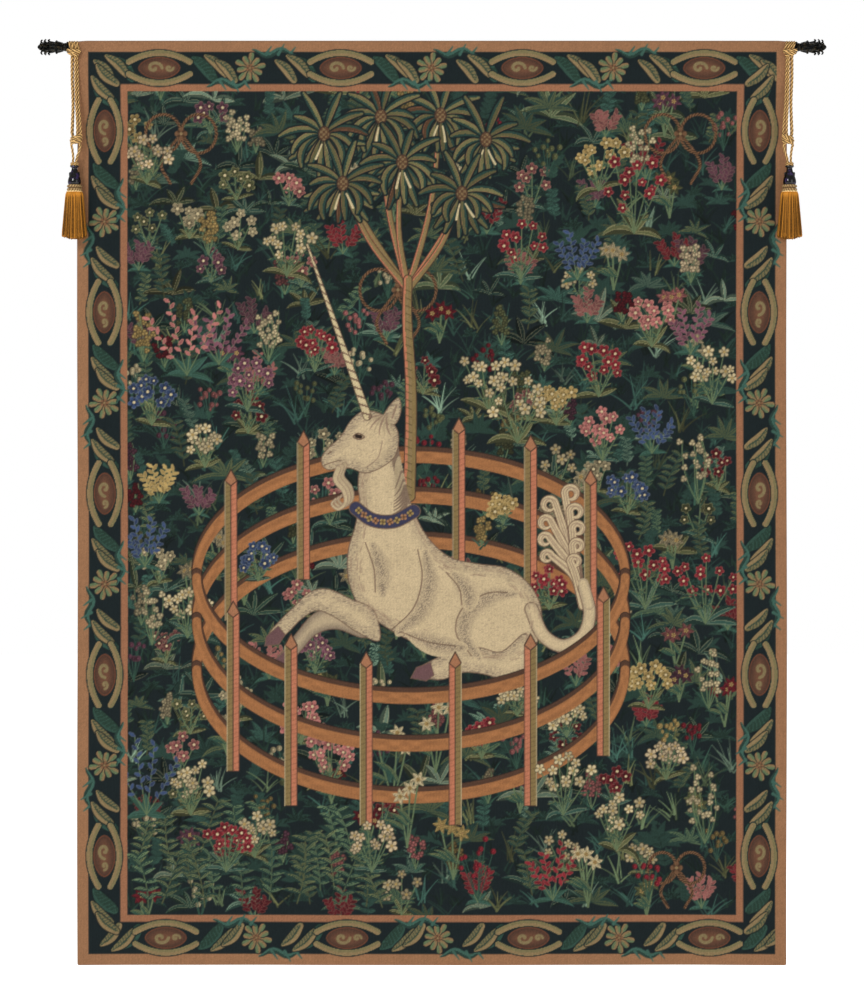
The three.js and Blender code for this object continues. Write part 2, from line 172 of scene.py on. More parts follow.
def noise(tree, scale, detail=3.0, stretch=(1, 1, 1)):
    sockets = {"Vector": here(tree, stretch), "Scale": scale, "Detail": detail}
    return add(tree, "TexNoise", sockets).outputs["Fac"]


def ribs(tree, pitch, axis, wander=0.6):
    """Even ribs across an axis, a pitch apart, that wander a little."""
    sockets = {"Vector": here(tree), "Scale": 2 * math.pi / 20 / pitch, "Distortion": wander, "Detail": 1.0}
    return add(tree, "TexWave", sockets, bands_direction=axis).outputs["Fac"]


def blend_colours(tree, mode, amount, a, b):
    made = add(tree, "Mix", {0: amount, 6: a, 7: b}, data_type="RGBA", blend_type=mode)
    return made.outputs[2]


def ramp(tree, value, low, high):
    """Maps a value from 0..1 to low..high."""
    return add(tree, "MapRange", {"Value": value, "To Min": low, "To Max": high}).outputs[0]


def relief(tree, base, height, depth, strength=1.0):
    made = add(tree, "Bump", {"Height": height, "Distance": depth, "Strength": strength})
    tree.links.new(made.outputs[0], base.inputs["Normal"])


def colour_mesh(mesh, colours):
    """Gives each vertex a colour, from sRGB."""
    layer = mesh.color_attributes.new("tone", "FLOAT_COLOR", "POINT")
    rows = np.ones((len(mesh.vertices), 4), np.float32)
    rows[:, :3] = linear(colours)
    layer.data.foreach_set("color", rows.ravel())


def piece(name, points, faces, material, body, stands_for=(), colours=None, closed=True):
    """A new piece of the object, riding on a body."""
    mesh = bpy.data.meshes.new(name)
    mesh.from_pydata(np.asarray(points).reshape(-1, 3), [], faces)
    if closed:
        work = bmesh.new()
        work.from_mesh(mesh)
        bmesh.ops.recalc_face_normals(work, faces=work.faces)
        work.to_mesh(mesh)
        work.free()
    mesh.shade_smooth()
    if colours is not None:
        colour_mesh(mesh, colours)
    mesh.materials.append(material)
    made = bpy.data.objects.new(name, mesh)
    bpy.context.collection.objects.link(made)
    if body:
        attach(made, body)
    if stands_for:
        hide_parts(*stands_for)
    return made


def grid(rows, cols, closed=False):
    """Quads over rows of points; closed joins each row's end to its start."""
    r, c = np.mgrid[: rows - 1, : cols - (not closed)]
    a, b = r * cols + c, r * cols + (c + 1) % cols
    return np.stack([a, b, b + cols, a + cols], -1).reshape(-1, 4)


def capped(rows, cols):
    """Quads over closed rows, with the first and the last row filled in."""
    faces = grid(rows, cols, True).tolist()
    return faces + [list(range(cols))[::-1], list(range((rows - 1) * cols, rows * cols))]


def merged(parts):
    """Several (points, faces) as one."""
    points, faces, count = [], [], 0
    for some, quads in parts:
        some = np.asarray(some).reshape(-1, 3)
        points.append(some)
        faces += [[count + k for k in face] for face in quads]
        count += len(some)
    return np.vstack(points), faces


def turned(profile, sides):
    """A profile of (radius, height) turned about Z, as rings of points."""
    profile = np.asarray(profile, float)
    angle = np.linspace(0, 2 * math.pi, sides, endpoint=False)
    ring = np.column_stack([np.cos(angle), np.sin(angle), 0 * angle])
    points = profile[:, :1, None] * ring
    points[..., 2] += profile[:, 1:]
    return points


def on_rod(points, sign):
    """From standing on Z to lying along the rod, outwards on that side."""
    x, y, z = np.moveaxis(np.asarray(points, float), -1, 0)
    return np.stack([sign * z, ROD_Y + x, y], -1)


def on_tassel(points, sign):
    return np.asarray(points) * (sign, 1, 1) + (sign * TASSEL_X, TASSEL_Y, 0)


def run(points, step):
    """A smooth path through points with even steps, and two normals carried along it."""
    line = spline(points, 12)
    along = np.concatenate([[0], np.cumsum(np.linalg.norm(np.diff(line, axis=0), axis=1))])
    s = np.linspace(0, along[-1], max(4, round(along[-1] / step) + 1))
    line = np.column_stack([np.interp(s, along, line[:, k]) for k in range(3)])
    tangent = np.gradient(line, axis=0)
    tangent /= np.linalg.norm(tangent, axis=1)[:, None]
    first = np.cross(tangent[0], (0.3, 0.9, 0.1))
    normals = [first / np.linalg.norm(first)]
    for t in tangent[1:]:
        n = normals[-1] - t * (normals[-1] @ t)
        normals.append(n / np.linalg.norm(n))
    normals = np.array(normals)
    return line, s, normals, np.cross(tangent, normals)


def rope(points, diameter, plies=3, lay=1.7, sides=18, step=0.18):
    """A laid rope. Gives its points, faces, how proud each point stands (0 to 1) and its path."""
    line, s, u, v = run(points, step * diameter)
    angle = np.linspace(0, 2 * math.pi, sides, endpoint=False)
    turn = 2 * math.pi * s[:, None] / (lay * diameter)
    proud = np.abs(np.cos(0.5 * (plies * angle - turn)))
    radius = 0.5 * diameter * (0.62 + 0.38 * proud)
    spokes = np.cos(angle)[None, :, None] * u[:, None] + np.sin(angle)[None, :, None] * v[:, None]
    return line[:, None] + radius[..., None] * spokes, capped(len(line), sides), proud.ravel(), line


# ---------------------------------------------------------------- the woven picture
# Centimetres on the cloth: u to the right and v down from its top left corner. Colours are sRGB.

CLOTH = (100.0, 130.2)
STITCH = 0.125
OUTER_BAND = 1.6
BORDER = 4.5
FIELD = (7.1, 7.1, 92.9, 123.1)

GROUND = (0.092, 0.126, 0.132)
RUST = (0.575, 0.415, 0.295)
SALMON = (0.70, 0.44, 0.33)
RAIL = (0.64, 0.43, 0.27)
DARK_BROWN = (0.25, 0.18, 0.15)
OLIVE = (0.50, 0.42, 0.27)
KHAKI = (0.46, 0.42, 0.29)
TAN = (0.52, 0.44, 0.31)
CREAM = (0.77, 0.70, 0.54)
IVORY = (0.755, 0.672, 0.53)
RED = (0.47, 0.14, 0.17)
PINK = (0.66, 0.40, 0.38)
MAUVE = (0.42, 0.26, 0.31)
BLUE = (0.20, 0.26, 0.38)
STRAW = (0.62, 0.52, 0.32)
LEAF = (0.185, 0.285, 0.235)
DEEP_LEAF = (0.15, 0.23, 0.20)
PALE_LEAF = (0.36, 0.42, 0.30)
TEAL = (0.23, 0.355, 0.31)
SAGE = (0.40, 0.41, 0.27)
FROND = (0.44, 0.42, 0.28)
FRINGE_LEAF = (0.46, 0.55, 0.46)


def tone(colour, gain):
    return np.clip(np.asarray(colour, float) * gain, 0, 1)


def mix(a, b, t):
    t = np.asarray(t, float)[..., None]
    return np.asarray(a) * (1 - t) + np.asarray(b) * t


def spline(points, steps=6, closed=False):
    """A smooth line through points (Catmull-Rom)."""
    p = np.asarray(points, float)
    if closed:
        p = np.vstack([p[-1], p, p[0], p[1]])
    else:
        p = np.vstack([2 * p[0] - p[1], p, 2 * p[-1] - p[-2]])
    t = np.linspace(0, 1, steps, endpoint=False)[:, None]
    parts = []
    for a, b, c, d in zip(p, p[1:], p[2:], p[3:]):
        parts.append(0.5 * (2 * b + (c - a) * t + (2 * a - 5 * b + 4 * c - d) * t**2
                            + (3 * b - a - 3 * c + d) * t**3))
    line = np.vstack(parts)
    return line if closed else np.vstack([line, p[-2]])


def curl(start, heading, length, bend, steps=7):
    """A line that sets off on a heading (degrees, 0 to the right, 90 up) and turns by bend."""
    t = np.linspace(0, 1, steps)
    angle = np.radians(heading + bend * t[:-1])
    step = length / (steps - 1)
    run = np.vstack([[0, 0], np.cumsum(np.column_stack([np.cos(angle), -np.sin(angle)]), 0)])
    return np.asarray(start) + step * run


class Loom:
    """The cloth's colours, one per stitch, with shapes laid over each other in order."""

    def __init__(self):
        self.shape = (round(CLOTH[1] / STITCH) + 1, round(CLOTH[0] / STITCH) + 1)
        self.u = np.linspace(0, CLOTH[0], self.shape[1])
        self.v = np.linspace(0, CLOTH[1], self.shape[0])
        self.rgb = np.empty(self.shape + (3,))
        self.rgb[:] = GROUND
        self.limit = (0, 0) + CLOTH

    def window(self, low, high):
        low = np.maximum(low, self.limit[:2])
        high = np.minimum(high, self.limit[2:])
        cols = slice(*np.searchsorted(self.u, (low[0], high[0])))
        rows = slice(*np.searchsorted(self.v, (low[1], high[1])))
        return rows, cols, *np.meshgrid(self.u[cols], self.v[rows])

    def lay(self, rows, cols, depth, colour, edge=None, edge_width=0.14):
        """Covers the stitches whose depth inside the shape is positive."""
        patch = self.rgb[rows, cols]
        cover = np.clip(0.5 + depth / STITCH, 0, 1)[..., None]
        patch += cover * (np.asarray(colour) - patch)
        if edge is not None:
            rim = np.clip(0.5 + (edge_width / 2 - np.abs(depth)) / STITCH, 0, 1)[..., None]
            patch += rim * (np.asarray(edge) - patch)

    def box(self, u0, v0, u1, v1, colour):
        rows, cols, pu, pv = self.window((u0 - 1, v0 - 1), (u1 + 1, v1 + 1))
        depth = np.minimum(np.minimum(pu - u0, u1 - pu), np.minimum(pv - v0, v1 - pv))
        self.lay(rows, cols, depth, colour)

    def stroke(self, points, width, colour, edge=None, edge_width=0.14):
        """A line of varying width. colour is a colour, or a function of (along, across)."""
        points = np.asarray(points, float)
        radius = 0.5 * np.broadcast_to(width, len(points))
        pad = radius.max() + 2 * STITCH + edge_width
        rows, cols, pu, pv = self.window(points.min(0) - pad, points.max(0) + pad)
        if not pu.size:
            return
        a, d = points[:-1], np.diff(points, axis=0)
        qu, qv = pu[..., None] - a[:, 0], pv[..., None] - a[:, 1]
        t = np.clip((qu * d[:, 0] + qv * d[:, 1]) / np.maximum((d**2).sum(1), 1e-9), 0, 1)
        off = np.hypot(qu - t * d[:, 0], qv - t * d[:, 1])
        r = radius[:-1] + t * np.diff(radius)
        near = (off - r).argmin(-1)[..., None]

        def pick(values):
            return np.take_along_axis(values, near, -1)[..., 0]

        depth = pick(r - off)
        if callable(colour):
            side = np.sign(pick(d[:, 0] * qv - d[:, 1] * qu))
            colour = colour((near[..., 0] + pick(t)) / len(a), side * pick(off / np.maximum(r, 1e-6)))
        self.lay(rows, cols, depth, colour, edge, edge_width)

    def solid(self, outline, colour, edge=None, edge_width=0.14):
        """A closed outline. colour is a colour, or a function of (u, v, depth)."""
        p = np.asarray(outline, float)
        pad = 2 * STITCH + edge_width
        rows, cols, pu, pv = self.window(p.min(0) - pad, p.max(0) + pad)
        if not pu.size:
            return
        gap = np.full(pu.shape, 1e9)
        inside = np.zeros(pu.shape, bool)
        for a, b in zip(p, np.roll(p, -1, 0)):
            d = b - a
            t = np.clip(((pu - a[0]) * d[0] + (pv - a[1]) * d[1]) / max(d @ d, 1e-9), 0, 1)
            np.minimum(gap, np.hypot(pu - a[0] - t * d[0], pv - a[1] - t * d[1]), out=gap)
            if a[1] != b[1]:
                crosses = (a[1] > pv) != (b[1] > pv)
                inside ^= crosses & (pu < a[0] + (pv - a[1]) * d[0] / d[1])
        depth = np.where(inside, gap, -gap)
        if callable(colour):
            colour = colour(pu, pv, depth)
        self.lay(rows, cols, depth, colour, edge, edge_width)

    def blossom(self, centre, radius, petals, petal, heart, turn=0.0, notch=0.3, rim=None):
        """An open flower: its outline swells into petals, and a heart sits in the middle."""
        rows, cols, pu, pv = self.window(np.subtract(centre, 1.2 * radius), np.add(centre, 1.2 * radius))
        if not pu.size:
            return
        rho = np.hypot(pu - centre[0], pv - centre[1])
        swell = 0.5 + 0.5 * np.cos(petals * (np.arctan2(pv - centre[1], pu - centre[0]) - turn))
        edge = radius * (1 - notch + notch * np.sqrt(swell))
        shade = np.clip(1.15 * swell + 0.25, 0, 1) * np.clip(0.6 + 0.5 * rho / radius, 0, 1)
        self.lay(rows, cols, edge - rho, mix(tone(petal, 0.5), petal, shade), rim, 0.12)
        self.lay(rows, cols, 0.24 * radius - rho, heart)


# ---------------------------------------------------------------- plants

def leaf(loom, base, heading, length, width, bend, light, dark):
    """A pointed leaf: dark, with a pale rib and one pale side."""
    line = curl(base, heading, length, bend)
    t = np.linspace(0, 1, len(line))
    swell = width * np.sin(np.pi * np.clip(0.06 + 0.94 * t**0.85, 0, 1)) + 0.04

    def shade(along, across):
        lit = np.clip((across - 0.25) * 4, 0, 1) * (0.5 + 0.5 * along)
        return mix(dark, light, np.maximum(lit, (np.abs(across) < 0.16) * 0.8))

    loom.stroke(line, swell, shade)


def blade(loom, base, heading, length, width, bend, colour):
    line = curl(base, heading, length, bend)
    loom.stroke(line, np.linspace(width, 0.08, len(line)), colour)


def rosette(loom, rng, base, size, count, light, dark):
    for heading in np.linspace(8, 172, count) + rng.uniform(-9, 9, count):
        bend = (heading - 90) * 0.55 + rng.uniform(-12, 12)
        reach = size * rng.uniform(0.7, 1.1) * (0.75 + 0.25 * abs(heading - 90) / 90)
        leaf(loom, base, heading, reach, size * rng.uniform(0.19, 0.28), bend, light, dark)


def grass(loom, rng, base, size, colour):
    for heading in rng.uniform(42, 138, rng.integers(5, 9)):
        blade(loom, base + rng.uniform(-0.5, 0.5, 2), heading, size * rng.uniform(0.5, 1.0),
              rng.uniform(0.16, 0.34), (90 - heading) * -0.6, tone(colour, rng.uniform(0.7, 1.25)))


def stems(rng, size, count, spread):
    """Headings and lengths of a spray of stems, longest in the middle."""
    for k in range(count):
        lean = spread * ((k + 0.5) / count - 0.5) * 2 + rng.uniform(-6, 6)
        yield 90 - lean, size * rng.uniform(0.7, 1.0) * math.cos(math.radians(lean) * 0.9), lean


def bush(loom, rng, base, size, colour, petals=5, count=6, spread=40):
    """A rosette of leaves with a spray of open flowers, one at each tip and one lower down."""
    heart = STRAW if sum(colour) > 1.5 else CREAM
    dock(loom, rng, base, size * 0.5, SAGE if rng.random() < 0.5 else TEAL)
    pale = sum(colour) > 1.5
    for k, (heading, reach, lean) in enumerate(stems(rng, size, count, spread)):
        line = curl(base, heading, reach, 0.3 * lean, 9)
        loom.stroke(line, 0.16, PALE_LEAF)
        for step in (2, 4):
            leaf(loom, line[step], heading + rng.choice([-55, 55]), size * 0.15, 0.3, 20, SAGE, LEAF)
        for point in (line[-1], line[5 + k % 2] + (rng.choice([-0.8, 0.8]), 0)):
            loom.blossom(point, rng.uniform(0.6, 0.9), petals, tone(colour, rng.uniform(0.85, 1.1)), heart,
                         rng.uniform(0, 6), 0.4,
                         tone(colour, 0.45) if pale else mix(colour, CREAM, np.array(0.22)))


def spikes(loom, rng, base, size, colour, count=4, spread=44):
    """Upright stems with slanting buds on alternate sides, each bud pale at its rim."""
    rosette(loom, rng, base, size * 0.36, 5, TEAL, LEAF)
    pale = mix(colour, CREAM, np.array(0.22))
    for heading, reach, lean in stems(rng, size, count, spread):
        line = curl(base, heading, reach, 0.25 * lean, 13)
        loom.stroke(line, 0.16, PALE_LEAF)
        for k, point in enumerate(line[4:]):
            way = heading + (-1) ** k * rng.uniform(35, 60)
            loom.stroke(curl(point, way, rng.uniform(0.6, 0.85), 0, 3), [0.2, 0.5, 0.3],
                        tone(colour, rng.uniform(0.8, 1.15)),
                        pale, 0.08)


def bells(loom, rng, base, size, colour, count=5, spread=34):
    """Arched stems hung with small bells."""
    grass(loom, rng, base, size * 0.4, LEAF)
    for heading, reach, lean in stems(rng, size, count, spread):
        line = curl(base, heading, reach, 1.5 * lean + rng.uniform(-14, 14), 12)
        loom.stroke(line, 0.15, PALE_LEAF)
        for point in line[5::2]:
            spot = point + (rng.uniform(-0.5, 0.5), rng.uniform(0.1, 0.5))
            loom.blossom(spot, rng.uniform(0.36, 0.5), 3, tone(colour, rng.uniform(0.8, 1.05)),
                         tone(colour, 0.7), rng.uniform(0, 3), 0.3, tone(colour, 0.5))


def berries(loom, rng, base, size, colour, count=6):
    """Thin stems that end in round berries."""
    for heading, reach, lean in stems(rng, size, count, 26):
        line = curl(base, heading, reach, 0.2 * lean)
        loom.stroke(line, 0.13, LEAF)
        for point in (line[-1], line[-3] + rng.uniform(-0.8, 0.8, 2)):
            loom.blossom(point, rng.uniform(0.3, 0.42), 1, colour, tone(colour, 1.3), 0, 0.05)


def lily(loom, rng, base, size, colour):
    """Tall stems with long leaves, each with a pointed flower."""
    for heading, reach, lean in stems(rng, size, 3, 22):
        line = curl(base, heading, reach, 0.4 * lean)
        loom.stroke(line, 0.24, PALE_LEAF)
        leaf(loom, line[2], heading + 40, size * 0.36, 0.7, 40, SAGE, LEAF)
        for petal in np.arange(0, 360, 60) + rng.uniform(0, 60):
            leaf(loom, line[-1], petal, 1.2, 0.55, 0, colour, tone(colour, 0.7))
        loom.blossom(line[-1], 0.34, 5, STRAW, RUST)


def vine(loom, rng, base, size, colour):
    """A climbing stem with pairs of curled leaves."""
    line = curl(base, rng.uniform(65, 115), size, rng.uniform(-30, 30), 7)
    loom.stroke(line, 0.18, tone(colour, 0.8))
    for point in line[1:]:
        for side in (-1, 1):
            leaf(loom, point, 90 + side * rng.uniform(35, 70), size * rng.uniform(0.22, 0.3), 0.62,
                 side * 35, tone(colour, rng.uniform(0.9, 1.15)), DEEP_LEAF)


def broadleaf(loom, rng, base, size, colour):
    rosette(loom, rng, base, size * 0.8, 6, colour, DEEP_LEAF)


def dock(loom, rng, base, size, colour):
    """Broad leaves that arch over, each with a pale rim on one side and a pale rib."""
    colour = tone(colour, 0.86)
    for heading in np.linspace(25, 155, rng.integers(3, 6)) + rng.uniform(-14, 14):
        line = curl(base, heading, size * rng.uniform(0.6, 1.05), (heading - 90) * rng.uniform(0.5, 1.3), 9)
        swell = size * rng.uniform(0.2, 0.27) * np.sin(np.pi * np.linspace(0.05, 0.97, 9)) ** 0.8
        rim = mix(colour, CREAM, np.array(0.35))

        def shade(_, across):
            lined = np.maximum(across > 0.72, np.abs(across) < 0.12) * 0.8
            return mix(mix(tone(colour, 0.62), colour, across > 0.1), rim, lined)

        loom.stroke(line, swell, shade)


THICKET = (8, 116, 43, 124)  # the leafy patch at the foot, on the left

# Plants that carry the field's main spots of colour: kind, colour, foot (u, v) and height.
BEDS = [
    (bells, CREAM, 22.5, 15.5, 6), (bush, STRAW, 73.5, 21, 8), (bells, CREAM, 79, 19, 8),
    (bush, RED, 78.5, 27, 11), (bush, RED, 62.5, 33.5, 8), (spikes, BLUE, 70.5, 33.5, 7),
    (bells, IVORY, 86.5, 34, 7), (bush, CREAM, 29.5, 33, 8), (bells, STRAW, 18.5, 30, 7),
    (bush, IVORY, 9.8, 20, 7), (spikes, PINK, 15.5, 47, 12), (spikes, MAUVE, 20, 45.5, 9),
    (bells, STRAW, 9.4, 45, 7), (bush, MAUVE, 24, 52, 7), (bush, RED, 33.5, 46.5, 6),
    (bells, CREAM, 27, 45, 8), (bush, BLUE, 10.5, 54, 7), (bush, CREAM, 18, 60, 6),
    (spikes, STRAW, 11.5, 65, 6), (spikes, BLUE, 9.5, 74, 7), (bells, CREAM, 10.5, 85, 9),
    (bush, CREAM, 15.5, 84, 8), (spikes, BLUE, 9.8, 109, 12), (bush, CREAM, 16, 109, 8),
    (bush, RED, 21, 117, 7), (bush, CREAM, 25, 115, 6), (bush, PINK, 81, 43, 7),
    (spikes, MAUVE, 86.5, 44, 7), (bush, RED, 73.5, 50, 8), (bush, CREAM, 58, 52, 9),
    (bush, CREAM, 62, 56.5, 10), (bush, STRAW, 67.5, 54, 6), (bush, CREAM, 89.5, 51, 8),
    (spikes, BLUE, 81, 58, 7), (bells, CREAM, 87.5, 65, 11), (bush, PINK, 74, 59, 7),
    (bush, BLUE, 77.5, 66.5, 6), (bush, RED, 80, 80, 10), (bush, RED, 88.5, 82, 10),
    (bush, STRAW, 80.5, 94, 7), (bells, CREAM, 89, 94, 10), (bush, CREAM, 76, 114, 9),
    (bells, CREAM, 88.5, 113, 12), (bush, IVORY, 83, 104, 6), (berries, RED, 56.5, 121, 9),
    (spikes, RED, 67, 121, 9), (lily, CREAM, 72, 122, 9), (lily, STRAW, 53, 118, 9),
    (vine, SAGE, 12, 121.5, 7), (vine, SAGE, 18, 122, 8), (vine, SAGE, 31, 121.5, 9),
    (vine, PALE_LEAF, 37, 121.5, 8), (vine, SAGE, 43, 122, 7), (berries, RED, 80.5, 121, 6),
]
PEN_BEDS = [
    (bush, MAUVE, 33.5, 89, 6), (bush, PINK, 35.5, 105, 8), (bush, PINK, 31.5, 99, 6),
    (bush, RED, 66.5, 80, 6), (bush, STRAW, 60, 68, 4), (bells, STRAW, 57, 71, 4),
    (bush, RED, 57, 101, 6), (lily, CREAM, 44.5, 107, 11), (lily, CREAM, 50.5, 103, 10),
    (bush, CREAM, 62, 95, 5), (bush, BLUE, 25.5, 76, 5), (bush, CREAM, 69, 98, 5),
]
FRONT_BEDS = [(bush, CREAM, 68.5, 109, 9), (lily, CREAM, 46.5, 113.5, 10), (bush, IVORY, 41.5, 117, 7)]


def scatter(rng, spacing, area):
    """Feet of plants on a loose grid, from the back row to the front."""
    rows = np.arange(area[1], area[3], spacing)
    for k, v in enumerate(rows):
        for u in np.arange(area[0] + (k % 2) * spacing / 2, area[2], spacing):
            yield np.array([u, v]) + rng.uniform(-0.4, 0.4, 2) * spacing


def meadow(loom, rng):
    """Greenery all over the field, with small flowers among it."""
    for foot in scatter(rng, 2.7, FIELD):
        under = tone((LEAF, DEEP_LEAF, TEAL)[rng.integers(3)], rng.uniform(0.42, 0.66))
        (grass, broadleaf)[rng.integers(2)](loom, rng, foot, rng.uniform(2.0, 3.2), under)
    greens = [LEAF, TEAL, TEAL, PALE_LEAF, FRINGE_LEAF, DEEP_LEAF, SAGE]
    for foot in scatter(rng, 4.1, FIELD):
        colour = tone(greens[rng.integers(len(greens))], rng.uniform(0.6, 1.0))
        rng.choice([grass, broadleaf, grass, dock, vine])(loom, rng, foot, rng.uniform(2.8, 5.2), colour)
    dots = [CREAM, RED, STRAW, CREAM, PINK, CREAM, MAUVE, SAGE]
    for foot in scatter(rng, 6.8, FIELD):
        kind = rng.choice([bush, bells, spikes, vine, berries, lily, broadleaf])
        colour = dots[rng.integers(len(dots))]
        if kind in (vine, broadleaf):
            colour = SAGE
        if kind is spikes:
            colour = (RED, PINK, MAUVE)[rng.integers(3)]
        fewer = {"count": 3} if kind in (bush, bells, spikes) else {}
        kind(loom, rng, foot, rng.uniform(4.2, 6.2), tone(colour, rng.uniform(0.6, 0.88)), **fewer)
    for foot in scatter(rng, 4.6, THICKET):
        size = rng.uniform(5.5, 7.5)
        vine(loom, rng, foot, size, tone((SAGE, PALE_LEAF)[rng.integers(2)], rng.uniform(0.85, 1.15)))


def plant(loom, rng, beds):
    for kind, colour, u, v, size in sorted(beds, key=lambda bed: bed[3]):
        kind(loom, rng, np.array([u, v]), size, colour)


# ---------------------------------------------------------------- tree

TRUNK_FOOT = (46.8, 64.0)
FORK = (46.6, 33.5)
CROWNS = [(34.8, 13.0), (42.8, 10.6), (51.2, 10.4), (57.6, 13.8), (37.4, 20.0), (45.8, 17.0), (54.2, 21.4)]


def bark(_, across):
    return mix(mix(SALMON, OLIVE, across > -0.45), TAN, (np.abs(across) < 0.25) * 0.7)


def frond(loom, base, heading, length, width, bend, colour):
    """A blunt leaf with a dark rim and one rosy edge."""
    line = curl(base, heading, length, bend, 9)
    t = np.linspace(0, 1, 9)
    swell = width * np.clip(0.35 + 1.5 * t, 0, 1) * np.clip(2.2 - 1.6 * t, 0, 1)
    rosy = mix(colour, SALMON, np.array(0.3))

    def shade(_, across):
        return mix(mix(colour, tone(TEAL, 0.7), across < -0.2), rosy, across > 0.6)

    loom.stroke(line, swell, shade, tone(GROUND, 0.9), 0.2)


def crown(loom, rng, centre, size):
    """Blunt leaves that arch out and hang round a brown fruit, with pale catkins below."""
    hanging = [(lean + 270, 1.05 - 0.1 * abs(lean) / 60, 0.2 * lean)
               for lean in (-66, 66, -50, 50, -34, 34, -19, 19, -5, 8)]
    raised = [(lean + 90, 0.98, lean) for lean in (-104, 104, -84, 86, -64, 62, -42, 40, -14, 16)]
    for heading, reach, bend in hanging + raised:
        withered = rng.random() < 0.08
        colour = tone(RUST, 0.55) if withered else tone(FROND, rng.uniform(0.74, 1.0))
        heading += rng.uniform(-5, 5)
        frond(loom, centre, heading, size * reach * rng.uniform(0.78, 1.15), size * 0.18, bend, colour)
    for heading in (248, 292):
        line = curl(centre + (0, 0.5), heading + rng.uniform(-8, 8), size * 0.55, rng.uniform(-20, 20))
        loom.stroke(line[2:], np.linspace(0.22, 0.34, len(line) - 2), CREAM)
    around = np.linspace(0, 2 * math.pi, 14, endpoint=False)
    fruit = centre + np.column_stack([0.8 * np.cos(around), 1.05 * np.sin(around)])

    def scales(u, v, _):
        return mix(tone(RUST, 0.6), TAN, (np.sin(9 * u) * np.sin(9 * v) > 0.1) * 0.7)

    loom.solid(fruit, scales, DARK_BROWN, 0.16)


def tree(loom, rng):
    foot, fork = np.array(TRUNK_FOOT), np.array(FORK)
    for top in CROWNS:
        top = np.array(top)
        middle = 0.5 * (fork + top) + (0.9 * np.sign(top[0] - fork[0]), 1.2)
        loom.stroke(spline([fork + (0, 1.5), middle, top]), np.linspace(0.95, 0.5, 13), bark, DARK_BROWN,
                    0.1)
    loom.stroke(spline([foot, foot + (0.25, -14), fork + (-0.1, 6), fork]), np.linspace(1.7, 1.2, 19), bark,
                DARK_BROWN, 0.12)
    for v in np.arange(fork[1] + 1.5, foot[1], 1.1):
        loom.stroke([(46.3, v), (47.1, v + 0.35)], 0.12, tone(OLIVE, 0.7))
    for centre in sorted(CROWNS, key=lambda c: c[1]):
        crown(loom, rng, np.array(centre), 5.9)


# ---------------------------------------------------------------- round paling

PEN = (47.0, 30.2)  # the ring's middle and half-width across
RAILS = [(75.4, 17.0), (81.6, 17.5), (88.4, 18.0)]  # height of each ring's middle, and its half-height
RAIL_WIDTH = 1.65
PICKETS = {"back": (213, 240, 283, 304, 327), "front": (146, 124, 102, 78, 56, 26)}


def ring_point(rail, degrees):
    v, half = RAILS[rail]
    angle = math.radians(degrees)
    return np.array([PEN[0] + PEN[1] * math.cos(angle), v + half * math.sin(angle)])


def rails(loom, start, end):
    """The three rails between two angles, each with a shaded upper edge and a streaky grain."""
    def grain(s, across):
        streak = np.sin(90 * s + 3 * np.sin(37 * s)) * np.sin(4 * across)
        return mix(RAIL, tone(RAIL, 0.86), 0.5 + 0.5 * streak)

    for rail in range(len(RAILS)):
        line = np.array([ring_point(rail, a) for a in np.linspace(start, end, 70)])
        turned = np.abs(np.gradient(line[:, 0])) / np.hypot(*np.gradient(line, axis=0).T)
        width = RAIL_WIDTH * (0.72 + 0.28 * turned)
        shadow = mix(DARK_BROWN, RAIL, np.array(0.15))
        loom.stroke(line + (0, -0.45), width + 0.2, shadow, tone(DARK_BROWN, 0.7), 0.1)
        loom.stroke(line + (0, 0.15), width, grain)


def picket(loom, foot, height, lit_left):
    """A pointed stake seen on its corner: one face olive, the other salmon, with a pale arris."""
    half = 0.85
    top = foot[1] - height
    left, right = (OLIVE, SALMON) if lit_left else (SALMON, OLIVE)
    for side, colour in ((-1, left), (1, right)):
        outer = foot[0] + side * half

        def grain(u, v, _):
            streak = np.sin(9 * v + 2 * np.sin(0.9 * v) + 3 * u) > 0.6
            return mix(colour, tone(colour, 0.84), streak * 0.6)

        face = [foot, (outer, foot[1]), (outer, top + 1.1), (foot[0], top - 0.4)]
        loom.solid(face, grain, tone(DARK_BROWN, 1.1), 0.1)
    tip = [(foot[0] - half, top + 1.2), (foot[0], top - 0.4), (foot[0] + half, top + 1.2),
           (foot[0], top + 1.9)]
    loom.solid(tip, mix(RUST, SALMON, np.array(0.3)), DARK_BROWN, 0.14)
    pale = foot[0] + (-half if lit_left else half)
    loom.stroke([(pale, foot[1]), (pale, top + 1.3)], 0.13, tone(CREAM, 0.85))


def pickets(loom, where):
    above, below = {"back": (5.4, 3.0), "front": (5.6, 4.4)}[where]
    for degrees in sorted(PICKETS[where], key=lambda d: ring_point(2, d)[1]):
        foot = ring_point(2, degrees) + (0, below)
        picket(loom, foot, foot[1] - ring_point(0, degrees)[1] + above, (degrees % 360) > 90)


# ---------------------------------------------------------------- the white beast

COAT_SHADE = (0.50, 0.44, 0.37)
OUTLINE = (0.42, 0.33, 0.27)
LOCK = (0.55, 0.46, 0.38)


def speckle(a, b):
    """An even scatter of values, 0 to 1, over two coordinates."""
    return (np.sin(127.1 * a + 311.7 * b) * 43758.5453) % 1


def coat(u, v, depth):
    """Cream, shaded with short grey stitches towards its outline."""
    speck = speckle(np.floor(u / 0.3), v)
    shade = np.clip(1.0 - depth / 1.8, 0, 1) * (0.3 + 0.55 * (speck > 0.6)) + 0.25 * (speck > 0.94)
    return mix(IVORY, COAT_SHADE, np.clip(shade, 0, 1))


def coat_on_stroke(_, across):
    return mix(IVORY, COAT_SHADE, np.clip(np.abs(across) * 1.2 - 0.5, 0, 1) * 0.7)


